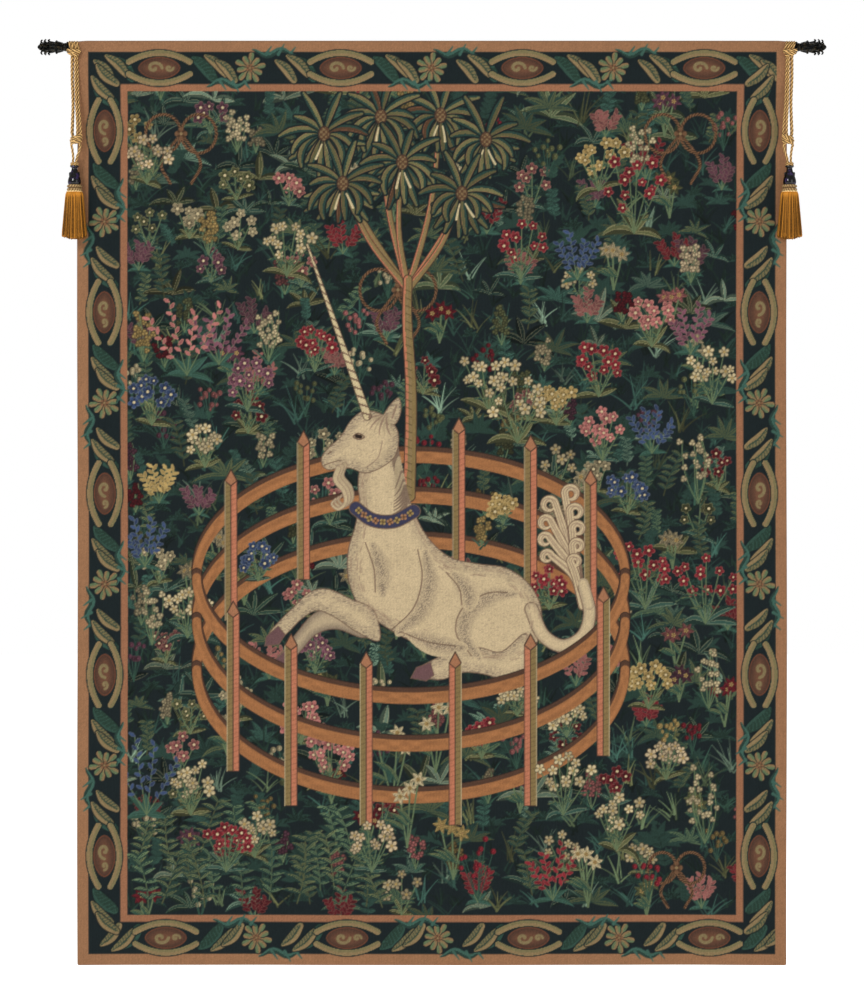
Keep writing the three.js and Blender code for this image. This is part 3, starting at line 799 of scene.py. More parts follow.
BODY = [
    (44.6, 57.5), (45.9, 61.5), (47.2, 65.6), (49.2, 69.6), (52.4, 72.6), (56.4, 73.6), (60.4, 74.2),
    (63.6, 76.4), (65.3, 79.6), (65.2, 83.0), (64.0, 86.2), (60.6, 87.6), (56.0, 87.0), (51.6, 85.8),
    (47.4, 84.6), (44.0, 82.8), (41.4, 81.0), (39.4, 79.0), (38.2, 75.6), (38.2, 71.8), (39.2, 68.2),
    (39.8, 64.8), (39.6, 62.0), (40.6, 58.4),
]
HEAD = [
    (43.4, 52.8), (45.2, 55.0), (44.9, 58.2), (42.9, 60.0), (40.6, 60.8), (38.8, 60.2), (37.2, 60.0),
    (35.6, 60.4), (34.6, 59.8), (34.5, 58.5), (35.5, 57.2), (37.2, 55.6), (38.6, 53.4), (40.6, 52.0),
]
FORELEG = [
    (41.8, 80.2), (38.6, 78.6), (35.4, 77.2), (32.8, 77.6), (30.4, 79.8), (28.4, 81.8), (27.0, 83.6),
    (28.0, 84.6), (29.8, 83.2), (31.6, 81.4), (33.8, 80.2), (36.4, 81.2), (39.4, 83.2), (42.6, 84.4),
]
FAR_FORELEG = [
    (40.4, 80.4), (36.6, 79.6), (33.4, 80.6), (31.2, 83.0), (29.2, 85.6), (28.2, 87.0), (29.6, 87.8),
               (31.4, 86.0),
    (33.6, 83.6), (36.6, 82.8), (40.6, 84.0),
]
HIND_LEG = [
    (63.2, 83.4), (64.2, 86.8), (63.2, 89.2), (60.2, 90.0), (57.6, 89.2), (54.4, 88.9), (51.4, 89.9),
            (48.8, 89.6),
    (47.8, 88.6), (50.0, 87.2), (53.0, 85.9), (56.6, 85.4), (59.8, 86.0),
]
HOOVES = [
    [(28.3, 82.4), (26.6, 83.9), (26.4, 85.2), (28.4, 85.0), (29.3, 83.6)],
    [(29.2, 85.9), (28.0, 87.0), (28.0, 88.1), (29.8, 88.0), (30.6, 86.8)],
    [(49.8, 87.5), (47.8, 88.2), (47.0, 89.7), (49.2, 90.1), (50.3, 89.3)],
]
BEARD = [(36.8, 60.2), (36.4, 61.8), (37.6, 63.4), (37.8, 65.0), (36.8, 65.9), (35.9, 65.2), (36.4, 64.5)]
FOLDS = [  # haunch, shoulder, chest, belly, loin
    [(55.6, 86.6), (53.4, 83.4), (54.2, 80.0), (57.6, 77.8), (60.6, 77.6)],
    [(48.0, 71.6), (48.6, 75.6), (47.4, 79.8), (44.2, 83.0)],
    [(40.6, 70.6), (41.8, 74.2), (42.0, 77.6)],
    [(45.6, 83.2), (49.4, 84.6), (53.4, 85.2)],
    [(52.0, 74.8), (53.8, 77.0), (54.2, 79.4)],
]
HORN_FOOT, HORN_TIP = (40.9, 52.8), (32.4, 28.6)


def horn(loom):
    """A long horn, wound with a brown thread."""
    foot, tip = np.array(HORN_FOOT), np.array(HORN_TIP)

    def turns(s, across):
        return mix(CREAM, OUTLINE, (np.sin(125 * s + 2.0 * across) > 0.62) * 0.8)

    loom.stroke([foot, tip], [1.15, 0.28], turns, tone(OUTLINE, 0.8), 0.1)


# Locks of the tail's plume: how high each rises (cm) and to which side it curls.
PLUME = [(12.4, -1), (13.8, 1), (11.2, 1), (9.8, -1), (8.8, 1), (7.4, -1), (6.4, 1), (5.0, -1), (4.2, 1)]


def tail(loom):
    """A tail that sweeps round under the rump and rises into a plume of curled locks."""
    root = spline([(64.0, 80.0), (65.6, 83.6), (68.4, 85.2), (71.2, 83.8), (72.2, 80.6), (71.4, 77.0)])
    for rise, side in PLUME:
        spread = 0.1 + 1.5 * math.sin(math.pi * rise / 15)
        line = spline([(71.2, 79.6), (70.1 + 0.2 * side, 76.8 - 0.3 * rise),
                       (68.2 + side * spread, 77.4 - rise)])
        tip = curl(line[-1], 96 - 22 * side, 2.6 + 0.14 * rise, -300 * side, 16)
        line = np.vstack([line, tip[1:]])
        t = np.linspace(0, 1, len(line))
        loom.stroke(line, 1.15 * np.interp(t, [0, 0.3, 0.75, 1], [0.9, 1, 0.75, 0.3]), IVORY, OUTLINE, 0.12)
        loom.stroke(line[3:-4] + (0.16, 0.05), 0.11, LOCK)
        loom.stroke(line[3:-6] - (0.2, 0.05), 0.11, LOCK)
    loom.stroke(root, np.linspace(1.9, 1.7, len(root)), coat_on_stroke, OUTLINE, 0.13)
    loom.stroke(root[-6:] + (-0.1, -0.6), 1.5, coat_on_stroke)


def mane(loom, rng):
    for t in np.linspace(0, 1, 34):
        start = (44.0 + 2.8 * t, 52.4 + 13.0 * t)
        shade = tone(LOCK, 0.85) if rng.random() < 0.6 else tone(IVORY, 0.84)
        loom.stroke(curl(start, 232 + 26 * t, 3.1 + 0.6 * math.sin(7 * t), 60 * math.sin(5 * t), 8),
                    np.linspace(0.5, 0.12, 8), shade)


def face(loom):
    loom.solid(spline(HEAD, 5, True), coat, OUTLINE, 0.12)
    ear = [(43.0, 53.4), (43.8, 51.6), (45.3, 50.2), (45.6, 52.2), (44.7, 54.0)]
    loom.solid(spline(ear, 4, True), coat, OUTLINE, 0.12)
    loom.stroke([(45.0, 51.3), (44.4, 53.0)], 0.28, LOCK)
    eye = spline([(38.9, 55.7), (39.6, 55.2), (40.5, 55.7), (39.7, 56.1)], 4, True)
    loom.solid(eye, (0.62, 0.54, 0.43), OUTLINE, 0.16)
    loom.stroke([(39.4, 55.6), (39.9, 55.7)], 0.52, (0.16, 0.12, 0.10))
    loom.stroke(spline([(34.8, 59.7), (36.0, 59.3), (37.2, 59.0)]), 0.12, OUTLINE)
    loom.stroke([(35.4, 58.1), (35.8, 57.8)], 0.18, OUTLINE)
    loom.stroke(spline([(43.0, 56.4), (42.4, 58.6), (40.8, 60.0)]), 0.12, LOCK)
    for shift in (0.9, 0.45, 0):
        beard = spline(BEARD) + (shift, -0.6 * shift)
        loom.stroke(beard, np.linspace(0.75, 0.25, len(beard)), tone(IVORY, 0.95 - 0.1 * shift), LOCK, 0.1)
    for k in range(8):
        loom.stroke(curl((43.0 + 0.12 * k, 52.8), 176 + 14 * k, 2.8, 46, 7), np.linspace(0.4, 0.1, 7),
                    (LOCK, tone(IVORY, 0.85))[k % 2])


def neckband(loom):
    """A plain studded strap."""
    line = spline([(39.3, 65.8), (41.6, 67.4), (44.6, 67.6), (47.4, 66.2)])
    loom.stroke(line, 1.9, (0.22, 0.22, 0.30), OUTLINE, 0.14)
    for k, point in enumerate(line[1::2]):
        loom.blossom(point, 0.5, 4, (STRAW, tone(RUST, 1.1))[k % 2], tone(RUST, 0.5), k)


def beast(loom, rng):
    def smooth(points):
        return spline(points, 5, True)

    def far_coat(u, v, depth):
        return mix(COAT_SHADE, IVORY, np.clip(depth, 0, 1) * 0.7)

    def soft(s, across):
        speck = speckle(np.floor(40 * s), across) > 0.5
        return mix(IVORY, COAT_SHADE, (1 - np.abs(across)) * (0.3 + 0.65 * speck))

    loom.solid(smooth(FAR_FORELEG), far_coat, OUTLINE, 0.13)
    loom.solid(smooth(BODY), coat, OUTLINE, 0.14)
    tail(loom)
    loom.solid(smooth(HIND_LEG), coat, OUTLINE, 0.13)
    loom.solid(smooth(FORELEG), coat, OUTLINE, 0.13)
    for hoof in HOOVES:
        loom.solid(hoof, (0.40, 0.29, 0.29), OUTLINE, 0.1)
    rim, middle = smooth(BODY), np.array((50.0, 80.5))
    for k in rng.integers(0, len(rim), 260):
        inwards = (middle - rim[k]) / np.hypot(*(middle - rim[k]))
        spot = rim[k] + inwards * rng.uniform(0.3, 2.4)
        along = rim[(k + 1) % len(rim)] - rim[k]
        along *= rng.uniform(0.25, 0.6) / np.hypot(*along)
        loom.stroke([spot - along, spot + along], 0.14, mix(IVORY, LOCK, np.array(rng.uniform(0.35, 0.9))))
    for fold in FOLDS:
        line = spline(fold)
        loom.stroke(line + (1.1, 0.3), 3.4 * np.sin(np.linspace(0.3, 2.8, len(line))), soft)
        loom.stroke(line, 0.14, OUTLINE)
    mane(loom, rng)
    face(loom)
    neckband(loom)
    horn(loom)


# ---------------------------------------------------------------- border

PERIOD = 25.55
FIRST_ALMOND = 12.6
NUT_DARK = (0.27, 0.19, 0.155)
NUT_LIGHT = (0.40, 0.27, 0.20)
NUT_RIM = (0.40, 0.24, 0.17)


def almond(loom, place):
    """A nut in a split husk: two curved husks round a brown heart with a pale swirl."""
    def husk(_, across):
        return mix(mix(KHAKI, TAN, across > 0), tone(TEAL, 0.8), np.abs(across) > 0.82)

    def heart(u, v, depth):
        return mix(NUT_DARK, NUT_LIGHT, np.clip(depth / 1.1, 0, 1))

    def whorl(x0, size, sense):
        line = []
        for t in np.linspace(0, 0.85, 16):
            reach = size * (1 - t)
            line.append(place(x0 + reach * math.cos(sense * 7.2 * t),
                              0.8 * reach * math.sin(sense * 7.2 * t)))
        return line

    for side in (-1, 1):
        arc = [place(x, side * (2.1 - 1.25 * (abs(x) / 4.3) ** 2)) for x in np.linspace(-4.3, 4.3, 17)]
        loom.stroke(arc, 1.0, husk, tone(GROUND, 0.8), 0.1)
    lens = [place(2.9 * math.cos(a), 1.5 * math.sin(a) * (0.8 + 0.2 * abs(math.sin(a))))
            for a in np.linspace(0, 2 * math.pi, 22, endpoint=False)]
    loom.solid(lens, heart, NUT_RIM, 0.16)
    loom.stroke(whorl(-0.7, 1.1, 1), 0.45, mix(TAN, KHAKI, np.array(0.5)))
    loom.stroke(whorl(1.4, 0.6, -1), 0.36, mix(TAN, KHAKI, np.array(0.5)))


def spray(loom, place, sense):
    """Beside each nut: a green leaf, then two khaki ones with dark ribs, all aslant and blunt."""
    def ribbed(s, across):
        veins = (across < -0.1) * (np.sin(52 * s + 5 * across) > 0.35) * 0.55
        rib = (np.abs(across) < 0.13) * 0.8
        return mix(mix(tone(KHAKI, 0.92), TAN, across > 0.3), DEEP_LEAF, np.maximum(rib, veins))

    def green(s, across):
        lit = np.maximum(across > 0.5, np.sin(46 * s + 5 * across) > 0.7) * 0.6
        return mix(tone(LEAF, 0.8), tone(TEAL, 0.9), lit)

    x = 5.7 * sense
    second, third = x + 1.3 * sense, x + 2.9 * sense
    shapes = [(x - 0.4, x + 1.9, green, 1.9, 1.4, -1.4), (second, second + 2.4, ribbed, 1.5, 1.7, -0.9),
              (third, third + 2.0, ribbed, 1.5, 1.0, -1.7)]
    for x0, x1, colour, width, y0, y1 in shapes:
        middle = place(0.55 * x0 + 0.45 * x1, 0.5 * (y0 + y1) + 0.25)
        line = spline([place(x0 - 0.5, y0), middle, place(x1, y1)], 6)
        swell = np.sin(np.pi * np.clip(0.08 + 0.72 * np.linspace(0, 1, len(line)), 0, 1)) ** 0.7
        loom.stroke(line, width * swell, colour, tone(GROUND, 0.8), 0.12)


def scroll(loom, place, edge):
    """A little teal leaf that strays over the band beside it."""
    line = [place(x, edge * (2.15 + 0.45 * math.sin(1.5 * x))) for x in np.linspace(-3.0, 3.0, 13)]
    swell = np.sin(np.linspace(0.3, 2.9, 13)) * 0.8
    loom.stroke(line, swell, lambda _, across: mix(TEAL, DEEP_LEAF, across > 0))
    for x, lean in ((-1.2, 1.0), (0.6, 1.3), (2.2, 0.9)):
        loom.stroke([place(x, edge * 1.9), place(x + 0.8, edge * (2.0 + lean))], [0.45, 0.15], TEAL)


def flower(loom, place):
    """A round bloom of ten blunt petals in two layers between two nuts."""
    def petal(s, across):
        rosy = np.maximum((s < 0.4) * 0.4, (across < -0.5) * 0.6)
        return mix(mix(KHAKI, PALE_LEAF, across > 0.1), RUST, rosy)

    for k in (0, 2, 4, 6, 8, 1, 3, 5, 7, 9):
        angle = 2 * math.pi * (k + 0.3) / 10
        reach = 1.85 if k % 2 == 0 else 1.5
        line = [place(r * math.cos(angle), r * math.sin(angle)) for r in (0.4, 0.65 * reach, reach)]
        loom.stroke(line, [0.4, 0.8, 0.85], petal, tone(GROUND, 0.8), 0.1)
    loom.blossom(place(0, 0), 0.6, 5, tone(RUST, 0.85), TAN)


def border(loom):
    width, height = CLOTH
    loom.box(0, 0, width, height, RUST)
    loom.box(*[OUTER_BAND] * 2, width - OUTER_BAND, height - OUTER_BAND, GROUND)
    inner = OUTER_BAND + BORDER
    loom.box(inner, inner, width - inner, height - inner, tone(mix(RUST, SALMON, np.array(0.35)), 0.92))
    loom.box(*FIELD, GROUND)
    mid = OUTER_BAND + BORDER / 2
    ground = (OUTER_BAND, OUTER_BAND, width - OUTER_BAND, height - OUTER_BAND)
    # Start corner, way along the side, way out of the cloth, distance of the first nut, how many nuts.
    sides = [
        ((0, mid), (1, 0), (0, -1), 11.6, 4), ((0, height - mid), (1, 0), (0, 1), 12.5, 4),
        ((mid, 0), (0, 1), (-1, 0), FIRST_ALMOND, 5), ((width - mid, 0), (0, 1), (1, 0), FIRST_ALMOND, 5),
    ]
    for corner, along, out, first, count in sides:
        for k in range(count):
            centre = first + k * PERIOD

            def place(x, y, shift=0.0):
                return np.array(corner) + (centre + shift + x) * np.array(along) + y * np.array(out)

            loom.limit = ground
            for sense in (-1, 1):
                spray(loom, place, sense)
            loom.limit = (0, 0) + CLOTH
            almond(loom, place)
            if k + 1 < count:
                flower(loom, lambda x, y: place(x, y, PERIOD / 2))
                scroll(loom, lambda x, y: place(x, y, PERIOD / 2 + 3.4), 1)
                scroll(loom, lambda x, y: place(x, y, PERIOD / 2 - 3.0), -1)


# ---------------------------------------------------------------- the whole cloth

def knots(loom):
    """Plain brown cord bows, a pair in the upper corners, one behind the tree and one at the foot."""
    def twist(s, across):
        return mix(tone(RUST, 0.75), tone(RUST, 0.42), np.sin(220 * s + 3 * across) > 0.2)

    for u, v, size in ((14.6, 13.0, 1.25), (85.0, 13.0, 1.25), (45.2, 35.0, 1.35), (84.5, 116.5, 1.0)):
        for k in (-1, 1):
            angle = np.linspace(0, 2 * math.pi, 20)
            loop = np.column_stack([u + k * size * (2.0 + 2.0 * np.cos(angle)),
                                    v + size * 2.2 * np.sin(angle)])
            loom.stroke(loop, 0.42, twist)
            end = [(u, v), (u + k * 2.2 * size, v + 3.2 * size), (u + k * 1.2 * size, v + 5.6 * size)]
            loom.stroke(spline(end), 0.42, twist)
        loom.blossom((u, v), 0.9, 4, tone(RUST, 0.75), TAN)


def weave_picture():
    loom = Loom()
    rng = np.random.default_rng(7)
    border(loom)
    loom.limit = FIELD
    meadow(loom, rng)
    knots(loom)
    plant(loom, rng, BEDS)
    rails(loom, 180, 360)
    pickets(loom, "back")
    plant(loom, rng, PEN_BEDS[:1] + PEN_BEDS[3:6])
    tree(loom, rng)
    beast(loom, rng)
    plant(loom, rng, PEN_BEDS[1:3] + PEN_BEDS[6:])
    rails(loom, 0, 180)
    pickets(loom, "front")
    plant(loom, rng, FRONT_BEDS)
    grain = rng.normal(1.0, 0.035, loom.shape)[..., None]
    return np.clip(loom.rgb * grain, 0, 1)


# ---------------------------------------------------------------- materials

def plaster():
    made, tree, base = shader("pale_floor", 0.9, Emission_Color=(1, 1, 1, 1), Emission_Strength=0.75)
    speck = noise(tree, 3.0)
    colour = blend_colours(tree, "MIX", ramp(tree, speck, 0.0, 1.0), rgba((0.97, 0.97, 0.97)),
                           rgba((1, 1, 1)))
    tree.links.new(colour, base.inputs["Base Color"])
    return made


def woven():
    """The picture cloth: dyed weft packed over warp ribs, with painted shade between the ribs."""
    made, tree, base = shader("woven_cloth", 0.9, Sheen_Weight=0.02, Sheen_Roughness=0.5,
                              Specular_IOR_Level=0.12)
    dyed = add(tree, "Attribute", attribute_name="tone").outputs["Color"]
    warp = ribs(tree, 2.1 * MM, "X", 0.8)
    weft = ribs(tree, 1.1 * MM, "Z", 1.6)
    fuzz = noise(tree, 900, 4)
    mottle = ramp(tree, noise(tree, 38, 5), 0.88, 1.12)
    # painted shade: paler on the warp ribs and fuzz that raise the relief, darker between them
    rib_shading = ramp(tree, add(tree, "Math", {0: warp, 1: fuzz}, operation="MULTIPLY").outputs[0], 0.90, 1.16)
    shade = add(tree, "Math", {0: mottle, 1: rib_shading}, operation="MULTIPLY").outputs[0]
    grey = add(tree, "CombineColor", {0: shade, 1: shade, 2: shade}).outputs[0]
    tree.links.new(blend_colours(tree, "MULTIPLY", 1.0, dyed, grey), base.inputs["Base Color"])
    height = add(tree, "Math", {0: warp, 1: weft, 2: fuzz}, operation="MULTIPLY_ADD").outputs[0]
    relief(tree, base, height, 0.35 * MM, 0.7)
    return made


def cotton(name, colour, pitch, dark=0.82):
    made, tree, base = shader(name, 0.92, Sheen_Weight=0.15, Sheen_Roughness=0.6)
    warp, weft = ribs(tree, pitch, "X", 1.2), ribs(tree, pitch, "Z", 1.2)
    cross = add(tree, "Math", {0: warp, 1: weft}, operation="MULTIPLY").outputs[0]
    slub = noise(tree, 55, 6, (1, 1, 5))
    tint = blend_colours(tree, "MIX", slub, rgba(np.multiply(colour, dark)), rgba(colour))
    # painted shade: darker where the threads sink, between their crossings
    tree.links.new(blend_colours(tree, "MULTIPLY", ramp(tree, cross, 0.35, 0.0), tint,
                                 rgba((0.6, 0.6, 0.6))),
                   base.inputs["Base Color"])
    relief(tree, base, add(tree, "Math", {0: cross, 1: slub}, operation="ADD").outputs[0], 0.3 * MM)
    return made


def coated_metal(name, colour, worn, roughness, metallic):
    """Dark metal, worn paler in places, with a fine cast grain."""
    made, tree, base = shader(name, roughness, Metallic=metallic)
    patch = ramp(tree, noise(tree, 260, 6), -1.5, 1.6)
    rub = add(tree, "Clamp", {0: patch}).outputs[0]
    tree.links.new(blend_colours(tree, "MIX", rub, rgba(colour), rgba(worn)), base.inputs["Base Color"])
    grain = noise(tree, 1400, 3)
    tree.links.new(ramp(tree, noise(tree, 300, 4), roughness - 0.1, roughness + 0.15),
                   base.inputs["Roughness"])
    relief(tree, base, grain, 0.12 * MM, 0.6)
    return made


def zinc():
    made, tree, base = shader("screw_steel", 0.35, Metallic=1.0)
    bloom = noise(tree, 420, 5)
    tree.links.new(blend_colours(tree, "MIX", bloom, rgba((0.60, 0.61, 0.63)), rgba((0.78, 0.77, 0.72))),
                   base.inputs["Base Color"])
    relief(tree, base, noise(tree, 2500, 2), 0.05 * MM, 0.5)
    return made


def silk(name, dark, light, fineness, roughness, gloss):
    """Lustrous yarn: the vertex tone runs from painted shade in its grooves to painted highlight on its
    crowns, over fine fibres.
    """
    made, tree, base = shader(name, roughness, Specular_IOR_Level=gloss)
    crown = add(tree, "Attribute", attribute_name="tone").outputs["Fac"]
    fibres = noise(tree, fineness, 4, (1, 1, 0.35))
    both = add(tree, "Math", {0: fibres, 1: 0.55, 2: crown}, operation="MULTIPLY_ADD").outputs[0]
    amount = add(tree, "MapRange", {"Value": both, "From Min": 0.15, "From Max": 1.25}).outputs[0]
    tree.links.new(blend_colours(tree, "MIX", amount, rgba(dark), rgba(light)), base.inputs["Base Color"])
    relief(tree, base, fibres, 0.25 * MM, 0.8)
    return made


def lacquer():
    made, tree, base = shader("lacquered_head", 0.12, Specular_IOR_Level=0.5)
    # painted glints: purple patches over the black stand in for purple highlights
    swirl = add(tree, "Clamp", {0: ramp(tree, noise(tree, 170, 2), -4.2, 3.4)}).outputs[0]
    colour = blend_colours(tree, "MIX", swirl, rgba((0.0, 0.0, 0.002)), rgba((0.20, 0.13, 0.32)))
    tree.links.new(colour, base.inputs["Base Color"])
    relief(tree, base, noise(tree, 600, 2), 0.05 * MM, 0.4)
    return made


def thread(name, colour):
    made, tree, base = shader(name, 0.7)
    tree.links.new(blend_colours(tree, "MIX", noise(tree, 1500, 3), rgba(np.multiply(colour, 0.7)),
                                 rgba(colour)),
                   base.inputs["Base Color"])
    relief(tree, base, ribs(tree, 0.6 * MM, "DIAGONAL", 1.0), 0.1 * MM)
    return made


# ---------------------------------------------------------------- panel

RIPPLE = 0.9 * MM  # how far the free cloth waves in and out
SWAY = 0.5 * MM  # how far its sides wander
DIP = 0.4 * MM  # and its foot
TIED_FROM = 491.5 * MM  # the hitches hold the corners from here outwards
TIED_PULL = 0.8 * MM


def hang(x, z, depth):
    """A point of the hanging: its place across and down, and how deep it lies behind the woven face."""
    x, z, depth = np.broadcast_arrays(x, z, depth)
    fall = np.clip((BULGE_FROM - z) / (BULGE_FROM - BULGE_TO), 0, 1)
    face = FRONT_AT_ROD + (FRONT_BELOW - FRONT_AT_ROD) * fall * fall * (3 - 2 * fall)
    free = np.clip(-(z + 0.12) / 0.9, 0, 1)
    wave = np.sin(15.0 * x + 1.5 * np.sin(2.6 * z + 1)) + 0.6 * np.sin(31.0 * x + 2.0 - 3.0 * z)
    edge = x / (PANEL_WIDTH / 2)
    sway = SWAY * edge * np.sin(8.0 * z + 2.0 * edge)
    dip = -DIP * np.cos(11.0 * x) * np.clip(-z / PANEL_HEIGHT, 0, 1)
    tied = np.clip((np.abs(x) - TIED_FROM) / 0.003, 0, 1) * np.clip((z + 0.012) / (PANEL_TOP + 0.012), 0, 1)
    dip = dip - TIED_PULL * tied * tied
    return np.stack([x + sway, face + depth - RIPPLE * free * wave, z + dip], -1)


def picture_cloth(cloth):
    """The woven face, a vertex to a stitch, up to just inside its folded edges."""
    colours = weave_picture()[1:-1, 1:-1]
    rows, cols = colours.shape[:2]
    x = (np.arange(1, cols + 1) / (cols + 1) - 0.5) * PANEL_WIDTH
    z = PANEL_TOP - np.arange(1, rows + 1) / (rows + 1) * PANEL_HEIGHT
    points = hang(x[None, :], z[:, None], 0.0)
    face = piece("picture_cloth", points, grid(rows, cols)[:, ::-1], cloth, "panel", ["woven_panel"],
                 colours.reshape(-1, 3), closed=False)
    return face


def outline(inset, corner=2.5 * MM, steps=90):
    """Points round the panel, a distance in from its edge, with slightly rounded corners."""
    radius = max(corner - inset, 0.8 * MM)
    half = np.array([PANEL_WIDTH, PANEL_HEIGHT]) / 2 - inset - radius
    points = []
    for k, (sx, sz) in enumerate([(1, 1), (-1, 1), (-1, -1), (1, -1)]):
        arc = math.pi / 2 * (k + np.linspace(0, 1, 5))
        points.append(half * (sx, sz) + radius * np.column_stack([np.cos(arc), np.sin(arc)]))
    path = []
    for corner_points, after in zip(points, points[1:] + points[:1]):
        path.append(corner_points)
        path.append(np.linspace(corner_points[-1], after[0], steps)[1:-1])
    path = np.vstack(path)
    return path[:, 0], path[:, 1] + (PANEL_TOP + PANEL_BOTTOM) / 2


def turned_edge(cloth):
    """The cloth's edge, folded to the back and cut raw under the lining."""
    profile = [(2.4, 0.06), (1.2, 0.14), (0.4, 0.6), (0.05, 1.3), (0.4, 2.0), (1.2, 2.5), (5, 2.65),
               (12, 2.7), (18, 2.6)]
    rows = []
    for inset, depth in profile:
        x, z = outline(inset * MM)
        rows.append(hang(x, z, depth * MM))
    rng = np.random.default_rng(3)
    colours = np.array(RUST) * rng.normal(1, 0.05, (len(rows) * len(rows[0]), 1)) * 0.97
    edge = piece("turned_edge", rows, grid(len(rows), len(rows[0]), True), cloth, "panel", ["woven_panel"],
                 np.clip(colours, 0, 1), closed=False)
    return edge


LINING_INSET = 9 * MM
LINING_TOP = PANEL_TOP - 1.5 * MM
STITCH_STEP = 9 * MM


def lining_cloth(material):
    """Plain cotton with its edges pressed under, drawn in a little at each stitch."""
    rows, cols = 260, 200
    half_x = PANEL_WIDTH / 2 - LINING_INSET
    top, bottom = LINING_TOP, PANEL_BOTTOM + LINING_INSET
    x = np.linspace(-half_x, half_x, cols)[None, :]
    z = np.linspace(top, bottom, rows)[:, None]
    rim = np.minimum(np.minimum(half_x - np.abs(x), z - bottom), top - z)
    pucker = np.exp(-rim / (5 * MM)) * (0.5 + 0.5 * np.cos(2 * math.pi * (x + z) / STITCH_STEP))
    slack = 0.35 * MM * np.sin(19 * x + 3) * np.sin(13 * z)
    depth = LINING_DEPTH - 0.2 * MM + slack * np.clip(rim / 0.05, 0, 1) - 0.35 * MM * pucker
    depth = depth - 0.8 * MM * (rim <= 0)
    made = piece("lining_cloth", hang(x, z, depth), grid(rows, cols), material, "panel", ["panel_lining"],
                 closed=False)
    return made


def stitches(name, spots, along, length, radius, material, lift):
    """Short rounded stitches at points of the back, each laid along a direction."""
    parts = []
    angle = np.linspace(0, 2 * math.pi, 6, endpoint=False)
    bow = np.array([(-0.5, -0.2, 0.35), (-0.4, 0.6, 0.9), (0, 1.0, 1.0), (0.4, 0.6, 0.9),
                    (0.5, -0.2, 0.35)])
    for spot, way in zip(spots, along):
        way = np.array(way) / np.linalg.norm(way)
        out, across = np.array([0, 1.0, 0]), np.cross(way, (0, 1.0, 0))
        rings = [spot + way * length * a + out * lift * up
                 + radius * thick * (np.cos(angle)[:, None] * out + np.sin(angle)[:, None] * across)
                 for a, up, thick in bow]
        parts.append((rings, capped(len(rings), len(angle))))
    return piece(name, *merged(parts), material, "panel")


def lining_stitches(material):
    spots, along = [], []
    half_x, half_z = PANEL_WIDTH / 2 - LINING_INSET, (PANEL_HEIGHT - LINING_INSET - 1.5 * MM) / 2
    middle = (LINING_TOP + PANEL_BOTTOM + LINING_INSET) / 2
    for sign in (-1, 1):
        for z in np.arange(-half_z + 6 * MM, half_z, STITCH_STEP):
            spots.append((sign * half_x, middle + z))
            along.append((sign, 0, 0.45))
        for x in np.arange(-half_x + 6 * MM, half_x, STITCH_STEP):
            spots.append((x, middle + sign * half_z))
            along.append((0.45, 0, sign))
    x, z = np.array(spots).T
    points = hang(x, z, LINING_DEPTH - 0.7 * MM)
    return stitches("slip_stitches", points, along, 3.4 * MM, 0.35 * MM, material, 0.5 * MM)


SLEEVE_HALF = 445 * MM


def sleeve_profile():
    """The sleeve's section, (y, z, ease): from its top seam over the rod to its bottom seam."""
    radius = 6.9 * MM
    points = []
    for a in np.linspace(math.pi, 0, 15):
        points.append((ROD_Y + radius * math.cos(a), radius * math.sin(a), abs(math.sin(a))))
    seams = [(-19.4, -9, 1), (-22.5, -18, 1), (-26.4, -27, 0.8), (-28.6, -34, 0.5), (-28.2, -40, 0.2),
             (-27.4, -45, 0.05), (-26.9, -50, 0)]
    return np.array(points + [(y * MM, z * MM, ease) for y, z, ease in seams])


def rod_sleeve(material):
    profile = sleeve_profile()
    x = np.linspace(-SLEEVE_HALF, SLEEVE_HALF, 240)
    y, z, ease = profile.T
    gather = 0.45 * MM * ease * (np.sin(70 * x) + 0.5 * np.sin(163 * x + 1))[:, None]
    hem = 0.5 * MM * ease * (np.abs(x) > SLEEVE_HALF - 14 * MM)[:, None]
    away = np.stack([y - ROD_Y, z], -1) / np.hypot(y - ROD_Y, z)[:, None]
    section = np.stack([y, z], -1) + (gather + hem)[..., None] * np.abs(away)
    points = np.concatenate([np.broadcast_to(x[:, None, None], section.shape[:2] + (1,)), section], -1)
    made = piece("rod_sleeve_cloth", points, grid(*points.shape[:2]), material, "panel", ["rod_sleeve"],
                 closed=False)
    return made


def sleeve_stitches(material):
    spots, along = [], []
    for x in np.arange(-SLEEVE_HALF + 6 * MM, SLEEVE_HALF, 4.2 * MM):
        spots.append((x, -27.0 * MM, -46.5 * MM))
        along.append((1, 0, 0))
    for sign in (-1, 1):
        for y, z in ((-19.2, -9.0), (-20.8, -13.5), (-22.3, -18.0), (-24.2, -22.5), (-26.2, -27.0)):
            spots.append((sign * (SLEEVE_HALF - 12 * MM), (y + 0.7) * MM, z * MM))
            along.append((0, -0.4, -1))
    return stitches("sleeve_stitches", np.array(spots), along, 3.0 * MM, 0.28 * MM, material, 0.35 * MM)


# ---------------------------------------------------------------- rod, brackets and screws

def rod_bar(material):
    end, ease = ROD_HALF_LENGTH, 0.7 * MM
    half = [(ROD_RADIUS, 0.3), (ROD_RADIUS, end - ease), (ROD_RADIUS - ease, end), (0, end)]
    profile = [(radius, -along) for radius, along in reversed(half)] + half
    made = piece("rod_bar", on_rod(turned(profile, 48), 1), capped(len(profile), 48), material, "rod",
                 ["rod"])
    bevelled(made)


def bevelled(made, angle=math.radians(35)):
    made.data.set_sharp_from_angle(angle=angle)


def brackets(material):
    """The bracket parts keep their CAD shape, with their edges eased."""
    for side in SIDES:
        for part in ("wall_plate", "rod_hook"):
            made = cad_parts[f"{side}_{part}"]
            for slot in made.material_slots:
                slot.link = "OBJECT"
                slot.material = material
            ease = made.modifiers.new("eased_edges", "BEVEL")
            ease.width = 0.35 * MM
            ease.segments = 2
            ease.limit_method = "ANGLE"


SCREW_HEIGHTS = {"upper": 0.0, "lower": -42 * MM}
HOOK_X = 472 * MM


